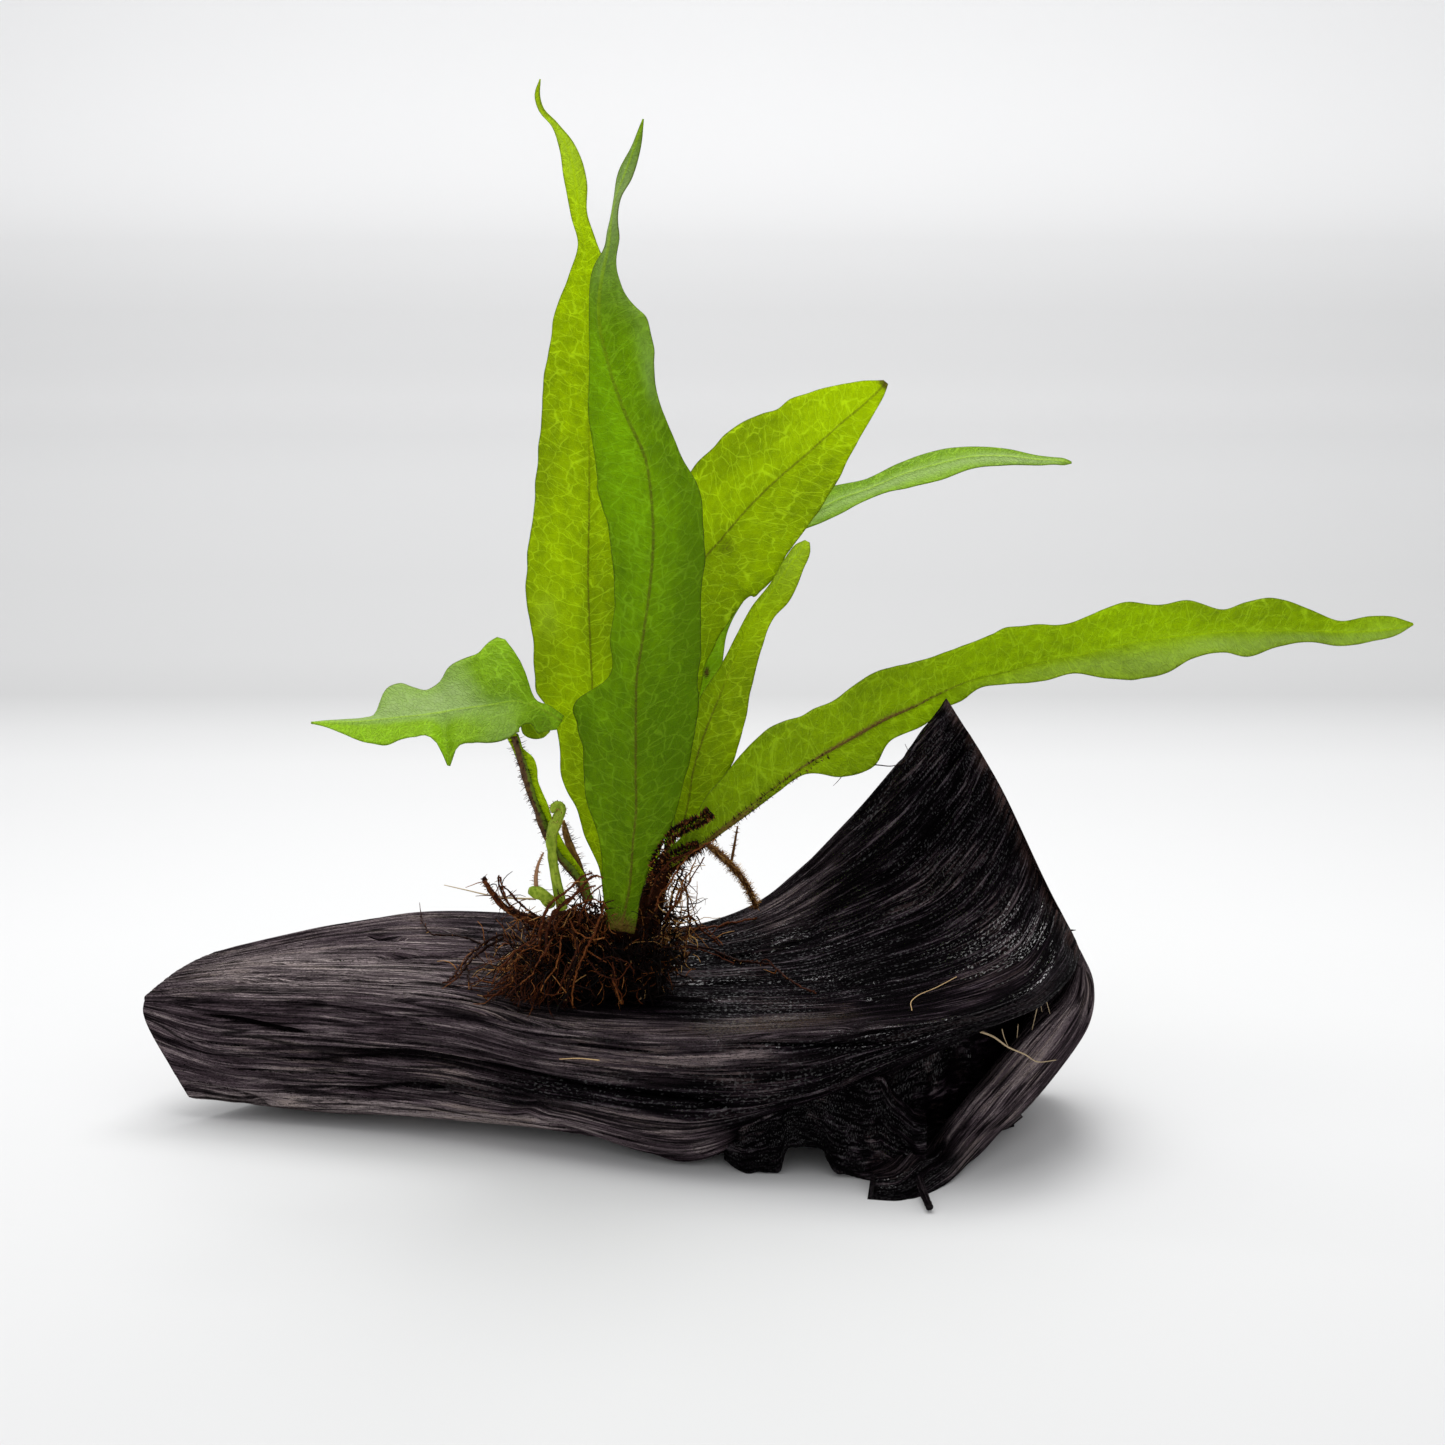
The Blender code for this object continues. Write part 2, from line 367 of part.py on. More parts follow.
def tube(name, rows, sides, slot, per_span=2):
    """A round stem along a path of x, y, z, radius."""
    rows = smooth_rows(rows, per_span)
    path = rows[:, :3]
    side = np.array([0.0, 1.0, 0.0])
    points = []
    for i, row in enumerate(rows):
        ahead = unit(path[min(i + 1, len(path) - 1)] - path[max(i - 1, 0)])
        side = unit(side - ahead * side.dot(ahead))
        other = np.cross(ahead, side)
        for k in range(sides):
            a = 2 * math.pi * k / sides
            points.append(path[i] + row[3] * (math.cos(a) * side + math.sin(a) * other))
    faces = []
    for r in range(len(rows) - 1):
        for k in range(sides):
            a = r * sides + k
            b = r * sides + (k + 1) % sides
            faces.append((a, b, b + sides, a + sides))
    faces.append(tuple(reversed(range(sides))))
    faces.append(tuple(range((len(rows) - 1) * sides, len(rows) * sides)))
    return solid(name, points, faces, slot)


def frond(name, rows):
    """A thin leaf: two halves of given width and lean beside a midrib."""
    rows = np.array(rows, float)
    path = rows[:, :3]
    upper, lower = [], []
    middles, normals = [], []
    for i, row in enumerate(rows):
        ahead = unit(path[min(i + 1, len(path) - 1)] - path[max(i - 1, 0)])
        across = unit(np.cross((0, 1, 0), ahead))
        behind = np.cross(ahead, across)
        line = []
        for k in range(LEAF_ACROSS + 1):
            s = 2 * k / LEAF_ACROSS - 1
            width, lean = (row[3], row[4]) if s < 0 else (row[5], row[6])
            lean = math.radians(lean)
            line.append(row[:3] + s * width * math.cos(lean) * across
                        + abs(s) * width * math.sin(lean) * behind)
        middles.append(line)
        normals.append(behind)
    middles = np.array(middles)
    for i in range(len(rows)):
        for k in range(LEAF_ACROSS + 1):
            along = middles[min(i + 1, len(rows) - 1), k] - middles[max(i - 1, 0), k]
            cross = middles[i, min(k + 1, LEAF_ACROSS)] - middles[i, max(k - 1, 0)]
            normal = unit(np.cross(along, cross))
            upper.append(middles[i, k] + normal * LEAF_THICK / 2)
            lower.append(middles[i, k] - normal * LEAF_THICK / 2)
    n = LEAF_ACROSS + 1
    m = len(rows)
    points = upper + lower
    off = n * m
    faces = []
    for i in range(m - 1):
        for k in range(n - 1):
            a = i * n + k
            faces.append((a, a + 1, a + n + 1, a + n))
            faces.append((off + a, off + a + n, off + a + n + 1, off + a + 1))
        for a, b in ((i * n, (i + 1) * n), (i * n + n - 1, (i + 1) * n + n - 1)):
            faces.append((a, b, off + b, off + a))
    for a in list(range(n - 1)) + list(range((m - 1) * n, m * n - 1)):
        faces.append((a, a + 1, off + a + 1, off + a))
    return solid(name, points, faces, "leaf")


def evaluated_mesh(obj):
    """The object's mesh with its modifiers carried out."""
    bpy.context.view_layer.update()
    graph = bpy.context.evaluated_depsgraph_get()
    return bpy.data.meshes.new_from_object(obj.evaluated_get(graph))


def combine(obj, other, operation):
    """Carry out one Boolean with another object, and keep the result."""
    mod = obj.modifiers.new(operation.title(), 'BOOLEAN')
    mod.operation = operation
    mod.solver = 'EXACT'
    mod.object = other
    mesh = evaluated_mesh(obj)
    obj.modifiers.clear()
    obj.data = mesh


def swollen(obj, by):
    """A copy of a piece, grown on all sides."""
    copy = bpy.data.objects.new(obj.name + "_room", obj.data.copy())
    bpy.context.collection.objects.link(copy)
    bm = bmesh.new()
    bm.from_mesh(copy.data)
    moves = []
    for vert in bm.verts:
        step = Vector((0, 0, 0))
        weight = 1.0
        for face in vert.link_faces:
            step += face.normal
        step.normalize()
        low = min(max(step.dot(face.normal), 0.4) for face in vert.link_faces)
        weight = 1.0 / low
        moves.append(step * by * MM * weight)
    for vert, move in zip(bm.verts, moves):
        vert.co += move
    bm.to_mesh(copy.data)
    bm.free()
    return copy


def make_room(obj, others, by):
    """Cut a piece back so that it stays clear of its neighbours."""
    for other in others:
        cutter = swollen(other, by)
        combine(obj, cutter, 'DIFFERENCE')
        bpy.data.objects.remove(cutter)


def keep_largest(obj):
    """Drop crumbs that a cut has left beside the main body."""
    bm = bmesh.new()
    bm.from_mesh(obj.data)
    bmesh.ops.remove_doubles(bm, verts=bm.verts, dist=0.000002)
    bmesh.ops.dissolve_degenerate(bm, dist=0.000002, edges=bm.edges)
    left = set(bm.verts)
    islands = []
    while left:
        start = left.pop()
        island = {start}
        queue = [start]
        while queue:
            vert = queue.pop()
            for edge in vert.link_edges:
                other = edge.other_vert(vert)
                if other in left:
                    left.discard(other)
                    island.add(other)
                    queue.append(other)
        islands.append(island)
    islands.sort(key=len, reverse=True)
    for island in islands[1:]:
        bmesh.ops.delete(bm, geom=list(island), context='VERTS')
    bmesh.ops.triangulate(bm, faces=bm.faces)
    bm.to_mesh(obj.data)
    bm.free()


def on_floor(rings):
    """Nothing reaches under the surface the wood rests on."""
    rings = np.array(rings)
    rings[..., 2] = np.maximum(rings[..., 2], 0.0)
    return rings


def wood_rings():
    """All rings of the log and the fin, from the cut end to the free edge."""
    stations = smooth_rows(WOOD, WOOD_STEPS)
    rings = [round_ring(rails, WOOD_ROUND, WOOD_CORNERS) for rails in stations]
    return on_floor(rings)


def build_wood():
    """The log, the fin that rises from its right end, and the lower flare."""
    rings = wood_rings()
    cut = FORK * WOOD_STEPS
    seam_back = rings[cut] + unit((rings[cut - 1] - rings[cut]).mean(axis=0)) * GAP * 0.6
    seam_front = rings[cut] + unit((rings[cut + 1] - rings[cut]).mean(axis=0)) * GAP * 0.6
    log = loft("driftwood_log", on_floor(list(rings[:cut]) + [seam_back]), "wood", 3 * WOOD_ROUND)
    peak = loft("driftwood_peak", on_floor([seam_front] + list(rings[cut + 1:])), "wood_wet",
                3 * WOOD_ROUND)
    rim_rings = [round_ring(rails, 2, ()) for rails in smooth_rows(RIM, 2)]
    rim = loft("driftwood_rim", on_floor(rim_rings), "wood_wet", 6)
    combine(rim, upright("arch", ARCH, ARCH_FRONT, ARCH_BACK, ARCH_SKEW, ARCH_FROM), 'UNION')
    cave = upright("cave", CAVE_FOOT + CAVE_TOP[::-1], CAVE_FRONT, CAVE_FRONT + CAVE_THICK, CAVE_SKEW,
                   CAVE_FROM)
    combine(rim, cave, 'UNION')
    twig = tube("twig", [p + (1.1 - 0.1 * i,) for i, p in enumerate(TWIG)], 6, "wood_wet")
    combine(rim, twig, 'UNION')
    for name in ("arch", "cave", "twig"):
        bpy.data.objects.remove(bpy.data.objects[name])
    make_room(rim, [log, peak], GAP)
    keep_largest(rim)
    return [log, peak, rim]


def upright(name, outline, front, back, skew, from_x):
    """A standing slab: an outline in X and Z, extruded along Y and skewed in plan."""
    points = []
    for y in (front, back):
        for x, z in outline:
            points.append((x, y + skew * (x - from_x), max(z, 0.0)))
    n = len(outline)
    faces = [tuple(reversed(range(n))), tuple(range(n, 2 * n))]
    for k in range(n):
        a, b = k, (k + 1) % n
        faces.append((a, b, b + n, a + n))
    return solid(name, points, faces, "wood_wet")


def fiddlehead():
    """A young frond that is still rolled up."""
    rows = list(FIDDLE_STEM)
    cx, cy, cz = COIL_CENTRE
    for k in range(1, COIL_STEPS + 1):
        s = k / COIL_STEPS
        a = math.radians(COIL_START + COIL_TURN * s)
        r = COIL_RADIUS[0] + (COIL_RADIUS[1] - COIL_RADIUS[0]) * s
        rows.append((cx + r * math.cos(a), cy - COIL_RISE * s, cz + r * math.sin(a), 1.3 - 0.45 * s))
    return tube("fiddlehead", rows, STEM_SIDES, "stem", 1)


def lump_height(direction):
    """Uneven swelling of the root mass."""
    x, y, z = direction
    return 1 + TUFT_LUMP * (math.sin(7 * x + 2) * math.cos(5 * y) + 0.6 * math.sin(9 * y + 4 * z + 1))


def build_tuft(wood, plant):
    """The root mass and its long roots, cut clear of all it holds."""
    bm = bmesh.new()
    bmesh.ops.create_icosphere(bm, subdivisions=3, radius=1.0)
    points = []
    for vert in bm.verts:
        swell = lump_height(vert.co)
        points.append([TUFT_CENTRE[i] + TUFT_SIZE[i] * swell * vert.co[i] for i in range(3)])
    bm.verts.index_update()
    faces = [tuple(v.index for v in f.verts) for f in bm.faces]
    bm.free()
    tuft = solid("root_tuft", points, faces, "root")
    for index, (radius, path) in enumerate(ROOTS):
        rows = [p + (radius * (1 - 0.4 * i / (len(path) - 1)),) for i, p in enumerate(path)]
        root = tube("root_%02d" % index, rows, ROOT_SIDES, "root")
        combine(tuft, root, 'UNION')
        bpy.data.objects.remove(root)
    make_room(tuft, wood + plant, GAP)
    keep_largest(tuft)
    return tuft


def main():
    """Build all pieces."""
    for obj in list(bpy.data.objects):
        bpy.data.objects.remove(obj, do_unlink=True)
    wood = build_wood()
    plant = [tube(name, rows, STEM_SIDES, "rhizome" if name == "rhizome" else "stem")
             for name, rows in STEMS.items()]
    for name, rows in SHOOTS.items():
        shoot = tube("shoot", rows, ROOT_SIDES, "stem")
        combine(bpy.data.objects[name], shoot, 'UNION')
        bpy.data.objects.remove(shoot)
    plant += [frond(name, rows) for name, rows in FRONDS.items()]
    plant.append(fiddlehead())
    make_room(bpy.data.objects["aerial_root"], wood[:1], GAP)
    keep_largest(bpy.data.objects["aerial_root"])
    build_tuft(wood[:2], plant)


main()
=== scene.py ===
"""Looks of the java fern on driftwood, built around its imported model.

X runs along the wood, Y away from its front face, Z up. Tables are in
millimetres, or in pixels of the photo where a comment says so, and become
metres when a mesh is made. The tables of the wood, the fronds, the stems and
the main roots are the ones the solids are made from; here they are followed by
many more points, and get grain, veins, hairs and fine roots.
"""

import json
import math

import bpy
import numpy as np
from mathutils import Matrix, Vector
from mathutils.bvhtree import BVHTree

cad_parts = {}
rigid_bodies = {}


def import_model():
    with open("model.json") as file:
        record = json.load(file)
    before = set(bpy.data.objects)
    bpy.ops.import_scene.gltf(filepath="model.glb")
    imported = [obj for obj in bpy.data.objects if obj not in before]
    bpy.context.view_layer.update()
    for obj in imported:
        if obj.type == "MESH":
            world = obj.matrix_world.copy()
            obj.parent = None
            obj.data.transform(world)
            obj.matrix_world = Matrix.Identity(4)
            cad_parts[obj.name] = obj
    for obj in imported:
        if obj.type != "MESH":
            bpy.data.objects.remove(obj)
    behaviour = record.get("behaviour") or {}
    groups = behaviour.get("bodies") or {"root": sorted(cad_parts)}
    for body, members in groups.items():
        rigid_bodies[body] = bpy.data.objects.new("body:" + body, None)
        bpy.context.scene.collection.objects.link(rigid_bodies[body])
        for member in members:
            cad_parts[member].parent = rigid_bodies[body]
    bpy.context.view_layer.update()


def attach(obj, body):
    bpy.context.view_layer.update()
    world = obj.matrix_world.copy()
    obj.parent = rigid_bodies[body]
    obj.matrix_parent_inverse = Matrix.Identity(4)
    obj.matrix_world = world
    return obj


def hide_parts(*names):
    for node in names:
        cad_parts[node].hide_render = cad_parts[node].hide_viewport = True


MM = 0.001

# ---------------------------------------------------------------- the solids' own tables

# Wood: stations along the grain.  Each has ten rails, going round from the
# front top edge: front top, bowl front, bowl back, back top, back, back foot,
# underside back, underside front, front bottom edge, front face.
WOOD = [
    [(-150, 5, 33), (-145, 10.5, 36), (-139.5, 16, 38.5), (-134, 21, 39.5), (-119, 27, 25),
     (-114.5, 24, 9), (-121, 16, 3), (-128, 10, 3), (-139, 2, 5.3), (-149.5, 4, 25.5)],
    [(-137, 2, 34.7), (-132, 11, 37.5), (-126, 20, 39.3), (-120, 29.5, 40), (-108, 34, 26),
     (-104, 30, 8), (-108, 20, 1), (-114, 10, 1), (-125, 0, 5), (-134, 0, 21)],
    [(-120, -1, 35), (-115, 12, 38), (-109, 26, 40), (-102, 38.5, 41), (-94, 42, 26),
     (-90, 37, 7), (-94, 24, -1), (-99, 11, -1), (-109.5, -3, 4.7), (-117, -4, 21)],
    [(-95, -6, 36.4), (-92, 9, 38.5), (-88, 27, 41), (-83, 44.5, 42), (-76, 49, 27),
     (-74, 43, 6), (-76, 27, -1.5), (-80, 11, -1.5), (-90, -6.5, 5.3), (-94, -9, 21)],
    [(-71, -12, 37), (-69, 6, 38.5), (-66, 26, 41), (-63, 45, 42.5), (-60, 50, 27),
     (-58, 44, 5), (-59, 28, -2), (-62, 8, -2), (-70, -11, 5.7), (-71.5, -15, 21.5)],
    [(-40.5, -22, 34), (-39, 0, 36.5), (-37, 23, 38.5), (-36, 45, 40), (-35, 51, 25),
     (-35, 45, 5), (-35, 28, -2), (-37, 4, -2), (-41, -17.5, 5), (-41, -25, 19)],
    [(-5, -33, 36), (-5, -6, 36.5), (-5.5, 21, 38), (-6, 43, 39.8), (-6, 49, 24),
     (-7, 44, 4), (-8, 28, -2), (-10, 0, -2), (-5, -28.5, 1.5), (-6, -36, 19)],
    [(18, -36, 38.5), (19, -9, 37.5), (17, 20, 42), (12, 38, 50), (10, 48, 32),
     (10, 46, 4), (12, 26, -2), (16, -2, -1), (19, -26, 15), (19, -37, 23)],
    [(37, -38, 41.5), (38.5, -10, 40), (37, 18, 50), (33.5, 34, 73), (31, 43, 58),
     (33, 44, 5), (37, 24, -1), (39, -6, 20), (38, -33, 25), (37.5, -40, 32)],
    [(54, -38, 43.5), (56, -12, 45), (52.5, 14, 60), (44, 28, 88), (43, 38, 72),
     (52, 38, 8), (56, 24, 4), (57, -4, 32), (55, -34, 34), (55, -39, 39)],
    [(67, -34, 45.5), (66, -11, 49), (59, 13, 67), (48.5, 26, 94.5), (49, 34, 80),
     (66, 30, 6), (69, 19, 4), (69, -4, 40), (67.5, -31, 39), (68, -35, 42)],
    [(76.5, -28, 47.5), (73.5, -8, 53.5), (64, 13.5, 74), (52, 24, 100), (54, 30, 89),
     (76, 25, 16), (78, 16, 14), (78, -3, 46), (77.5, -25, 41), (78, -29, 44)],
    [(83.5, -18, 51.5), (78.5, -1, 59), (68, 14, 80.5), (55, 22, 105), (57.5, 26, 96),
     (79, 20, 42), (82, 13, 34), (84, 0, 49), (85.5, -15, 44.5), (86.5, -19, 47.5)],
    [(88.5, -2, 54), (82.2, 8, 65), (71.5, 15, 87), (57.5, 20, 109.2), (58.8, 23.2, 105),
     (71, 20, 84), (81.5, 13.5, 61.5), (87.5, 4, 50.5), (91, -5, 46.5), (90.5, -5, 50)],
]
WOOD_CORNERS = (0, 3, 5, 8)

# Lower flare of the wood: a thick curved strap from the lip of the bowl down
# to the front foot.  Rails: front inner, front outer, outer, back outer, back
# inner, inner.
RIM = [
    [(90.5, -6, 45), (92, -5, 46), (91.5, 3, 48), (89, 11, 50), (86.5, 11, 48), (88, 2, 46)],
    [(86.8, -9, 38.2), (94.2, -7.5, 40), (94.5, 6, 40), (92, 18, 40), (86, 17, 38), (87, 4, 37.5)],
    [(78.7, -12, 31), (93.5, -8, 31), (94, 6, 29), (91, 21, 28), (82, 19, 27), (80.5, 4, 28)],
    [(67.8, -16, 19.5), (86.6, -10, 19.8), (88.5, 6, 17), (86, 22, 14), (76, 19, 15), (72, 3, 17)],
    [(62, -20, 15), (77.5, -16, 11.7), (81, 2, 7.5), (80, 20, 3), (70, 16, 6), (66, -2, 10)],
    [(54.5, -26, 8), (68.5, -24, 7.5), (71.2, -8, 1.5), (69.5, 8, -1), (63, 6, 4), (58, -10, 6)],
    [(51.5, -32, 6), (61, -31, 3.5), (64, -18, -1), (60, -6, -1), (53, -8, 5), (51, -20, 7)],
    [(47.8, -37, 7), (55, -38, 0.8), (54, -28, -1), (50, -20, -1), (45, -20, 6), (46, -28, 8)],
    [(42, -43, 4.5), (44, -46.5, -1), (46, -38, -1), (43, -31, -1), (40, -30, 5), (40, -36, 5.5)],
    [(35, -43, 3.6), (35, -46, -1), (35.5, -41, -1), (36, -36, -1), (36, -36, 3.6), (35, -39.5, 4)],
]
# Arch between two legs that hangs from the front overhang: the Y of its two
# faces, then its top and its underside in X and Z.
ARCH_FRONT = -31.5
ARCH_BACK = -25.0
ARCH_SKEW = -0.12       # the right leg stands further forward
ARCH_FROM = 5           # the X at which it keeps its Y
ARCH_TOP = [(2, 14), (20, 21), (39, 24), (42, 17), (47, 12)]
ARCH_UNDER = [(0.5, 1.9), (2.6, 0.7), (5.1, 0), (13.9, 0), (14.7, 1.2), (14.9, 3.6), (15.1, 5.2),
              (15.9, 7.4), (17.2, 8.1), (19.3, 7.8), (22.5, 7.0), (24.6, 6.0), (25.7, 4.2),
              (26.3, 2.2), (27.3, 1.2), (29.8, 0.5), (34.2, 0), (50.2, 0)]
TWIG = [(48, -40, 3), (48.8, -47, 2.2), (49.8, -54, 1.6)]
# Back of the hollow between the arch and the strap.
CAVE_FRONT = -29.0
CAVE_SKEW = 0.62
CAVE_FROM = 34
CAVE_THICK = 3.5
CAVE_X = (34, 50, 60, 76)
CAVE_Z = (30, 37, 40, 36)

# Fronds: x, y, z of the midrib, then for the left and right half the width
# and the angle in degrees by which that half leans back.
FRONDS = {
    "frond_tall_front": [
        (-26, -4, 54, 3.6, 0, 3.8, 0), (-23.5, -5, 66, 7, 8, 3.5, 15),
        (-22.5, -7, 77.5, 8.4, 7, 7, 8), (-21.5, -8.5, 88.5, 12.4, 7, 11, 10),
        (-21.5, -10, 98, 13.4, 8, 13.7, 13), (-21.3, -11, 109, 14.3, 8, 14.8, 12),
        (-21.2, -12, 116, 14.6, 4, 15.7, 11), (-21, -12.5, 121.5, 7.4, 8, 15.7, 11),
        (-19.6, -13, 131, 8.2, 10, 15, 15), (-17.8, -13, 143, 8.5, 12, 13.4, 17),
        (-16.7, -12.5, 155.5, 10.5, 10, 13.3, 22), (-17, -12, 166, 12.2, 9, 12.8, 22),
        (-18.5, -11, 176, 12.7, 9, 9.5, 30), (-23.5, -10, 187.5, 9.5, 18, 9.6, 24),
        (-27.4, -9, 199.5, 5.2, 35, 11.5, 20), (-29.3, -8, 210, 3.1, 40, 10.8, 21),
        (-28.5, -6, 219, 2.8, 20, 5.5, 33), (-27, -4, 226, 0.8, 0, 2.8, 30),
        (-26.2, -3, 230.5, 1.3, 50, 1.8, -35), (-25, -2, 236.5, 1.7, 60, 1.7, -60),
        (-23, -1, 242, 2.1, 30, 2, -30), (-20.4, 0, 249, 0.9, 30, 1.3, -20),
        (-18.7, 1, 254.8, 0.2, 0, 0.2, 0)],
    "frond_tall_back": [
        (-28.5, 9, 55, 2, 0, 2.6, 0), (-29.3, 9, 67, 2.6, 0, 4.4, 0),
        (-30.3, 9.5, 76, 5.4, 0, 6.6, 0), (-31.3, 10, 83, 5.9, -9, 9.2, 0),
        (-32.3, 10.5, 91.5, 9, -6, 11.7, 0), (-32.7, 11, 100.5, 8.9, -6, 13.2, 0),
        (-32.9, 11, 108, 11.1, -5, 13.4, 0), (-33, 11, 113.5, 13.9, -4, 12.9, 0),
        (-33.4, 11, 126.5, 14.6, -4, 13.1, 0), (-33.7, 11, 142, 15.5, -7, 13.5, 0),
        (-33.2, 10, 157.5, 14.4, -8, 12.2, 0), (-32.9, 9, 175, 12.6, -9, 10.3, 0),
        (-33, 8, 192.5, 10.8, -11, 8.5, 0), (-32.8, 7, 207, 8.2, -7, 7.3, 0),
        (-32.4, 5.5, 218, 4.8, 0, 5.5, 0), (-32.7, 4, 225.5, 2.2, 25, 2.9, -20),
        (-34, 3, 232.5, 2.5, 25, 2, -30), (-34.8, 2, 240.5, 3.1, 20, 2.7, -22),
        (-36.5, 1, 248, 2.1, 0, 1.9, 0), (-39.4, 0, 253.5, 1, 30, 0.9, -30),
        (-42.6, -1, 257.5, 0.9, 30, 0.6, -30), (-43.3, -1, 260, 0.8, 20, 0.6, -20),
        (-42.7, -1, 264, 0.15, 0, 0.15, 0)],
    "frond_broad": [
        (-21, 9.2, 58, 2, 0, 1.8, 0), (-18.8, 11, 70, 3, 0, 2.6, 0),
        (-17, 16, 91, 6.4, 0, 7, 0), (-15, 19, 107, 8.3, 0, 8.5, 0),
        (-12.4, 21, 120, 11, 5, 8.5, 0), (-9.6, 22, 131.5, 12.6, 5, 11.2, -5),
        (-5.7, 22, 143.5, 15.1, 4, 15.4, -4), (0, 22, 150.5, 17.3, 3, 17, -3),
        (5.7, 21, 157.5, 17.2, 3, 15.2, -4), (13.2, 19, 165.5, 16.6, 4, 13.6, -4),
        (21.4, 17, 173, 14, 4, 10.4, -6), (29.2, 15, 180.5, 10.8, 6, 6.4, -9),
        (35.5, 14, 186, 6.4, 5, 3.3, -9), (38.9, 13, 189.5, 3.2, 5, 1.6, -10),
        (40.3, 13, 191.2, 0.8, 5, 0.7, -10)],
    "frond_slim": [
        (-14, 12, 68, 1.1, 0, 1.1, 0), (-12.8, 17, 80, 2, 0, 2.2, 0),
        (-11, 21, 92, 2.8, 0, 3, 0), (-8.4, 25, 103, 3.6, 0, 4, 0),
        (-5.3, 28, 114.4, 4.2, 0, 5, 0), (-2.2, 31, 125.7, 4.6, 0, 4, 0),
        (5.1, 34, 137, 4.8, 8, 3.4, -8), (12.3, 36, 146.6, 4.8, 16, 3, -16),
        (18.6, 37.5, 151.4, 4.6, 28, 2.9, -30), (24.2, 38.3, 154.2, 5, 38, 3.9, -42),
        (30, 39, 157, 5, 45, 4.6, -50),
        (38.8, 40, 160, 4.2, 55, 3.6, -60), (47.4, 41, 163.5, 4.6, 55, 5.6, -60),
        (56, 41, 166, 6, 60, 6.2, -60), (64, 40, 168, 4.6, 60, 4.6, -60),
        (73, 39, 168.4, 3.3, 60, 3.5, -60), (82, 38, 167.6, 2, 60, 2, -60),
        (87, 37, 167.6, 1.4, 55, 1.4, -55), (90, 37, 167.2, 0.3, 0, 0.2, 0)],
    "frond_young": [
        (-11, 7, 75.5, 1.6, 0, 1.6, 0), (-8.8, 9, 84, 3.3, 0, 4.9, 0),
        (-7.5, 10.5, 92, 4.2, 0, 8.2, 0), (-5, 12, 100.5, 4.8, 0, 9.5, 0),
        (-1.7, 13, 109, 4.4, 0, 8.4, 0), (1.9, 14, 117.5, 2.9, 0, 6.3, 0),
        (5.7, 15, 125.5, 2.6, 0, 4.7, 0), (9, 16, 132.5, 2.1, 0, 4.4, 0),
        (13.5, 17, 139, 1.6, 8, 4.8, -6), (17.6, 18, 145, 2.1, 12, 3.5, -8),
        (20.6, 18, 149, 1.8, 10, 1.9, -10), (21.3, 18, 150.4, 0.6, 0, 0.8, 0)],
    "frond_long": [
        (-13.5, -2.5, 71.5, 2.8, 0, 1.2, 0), (-6, -1, 76, 5.2, 0, 1.1, 0),
        (0, 1.5, 80, 8.5, 0, 1.3, -20), (6.5, 5, 84, 10.8, 3, 1.5, -40),
        (13.4, 9, 88.2, 12.9, 4, 1.5, -40), (20, 13, 92, 13.2, 4, 1.9, -30),
        (27, 17, 95.4, 11.5, 5, 7.3, -8), (34.5, 20, 99, 10.9, 5, 9.4, -4),
        (42, 24.5, 102, 12.5, 5, 6, 4), (50, 28, 104.7, 11.7, 5, 6, 4),
        (58, 29, 108.6, 9.2, 6, 4.3, 0), (65.6, 28, 111.8, 9.7, 6, 4, -60),
        (73.3, 26, 114.1, 11.1, 5, 4.3, -65), (82, 24.5, 117.2, 10.5, 5, 6, -50),
        (89.5, 23, 119, 8.6, 6, 5, -40), (97, 22, 121.2, 9.4, 6, 7.5, -25),
        (104.4, 21, 123.3, 10.8, 5, 9.5, -20), (112, 20, 124.8, 8.5, 6, 9.3, -20),
        (119.3, 19, 125.8, 9, 6, 6.2, -25), (128, 18, 126.8, 5.9, 10, 5.5, -25),
        (133, 17, 127.3, 7.1, 8, 6.8, -20), (141.6, 16, 127.6, 8.2, 7, 4, -25),
        (148.5, 15, 127.8, 5.7, 10, 3, -25), (156.4, 14, 127.8, 2.9, 10, 3.5, -20),
        (164.2, 13, 128.3, 3.8, 8, 2.7, -15), (170.4, 12, 129.3, 2.8, 5, 1.6, -10),
        (174.2, 12, 130.3, 0.3, 0, 0.3, 0)],
    "frond_left": [
        (-40, -4, 109.1, 2.4, -25, 2, 59), (-43.5, -4.5, 111.5, 5.7, -31, 2.5, 57),
        (-47, -5, 113.2, 6.2, -61, 3.6, 63), (-50.5, -5.6, 114.5, 9.5, -55, 13.4, 47),
        (-52.3, -5.9, 114.6, 10.3, -56, 18, 38), (-54, -6.2, 114.4, 11.2, -56, 17.6, 36),
        (-58, -6.8, 113.8, 12, -58, 14.9, 38), (-62.5, -7.2, 113.3, 12.3, -64, 14, 45),
        (-66.5, -7.8, 112.8, 11.8, -60, 12.2, 50), (-69.5, -8, 112.3, 15.3, -47, 9.6, 57),
        (-71.8, -8.3, 112, 10.8, -68, 9, 58), (-76, -8.6, 111.5, 9, -70, 10.2, 54),
        (-79.5, -9, 111.3, 9, -69, 11.3, 54), (-83.3, -9.4, 110.9, 9.2, -66, 8.6, 57),
        (-85.6, -9.7, 110.8, 8.5, -66, 4.6, 84), (-88, -10, 110.6, 7.7, -67, 4, 88),
        (-93.3, -10.6, 110.5, 4.4, -71, 3.1, 86), (-97.6, -11, 110.7, 2.1, -76, 1.6, 82),
        (-101, -11.5, 110.8, 0.3, -80, 0.3, 80)],
}

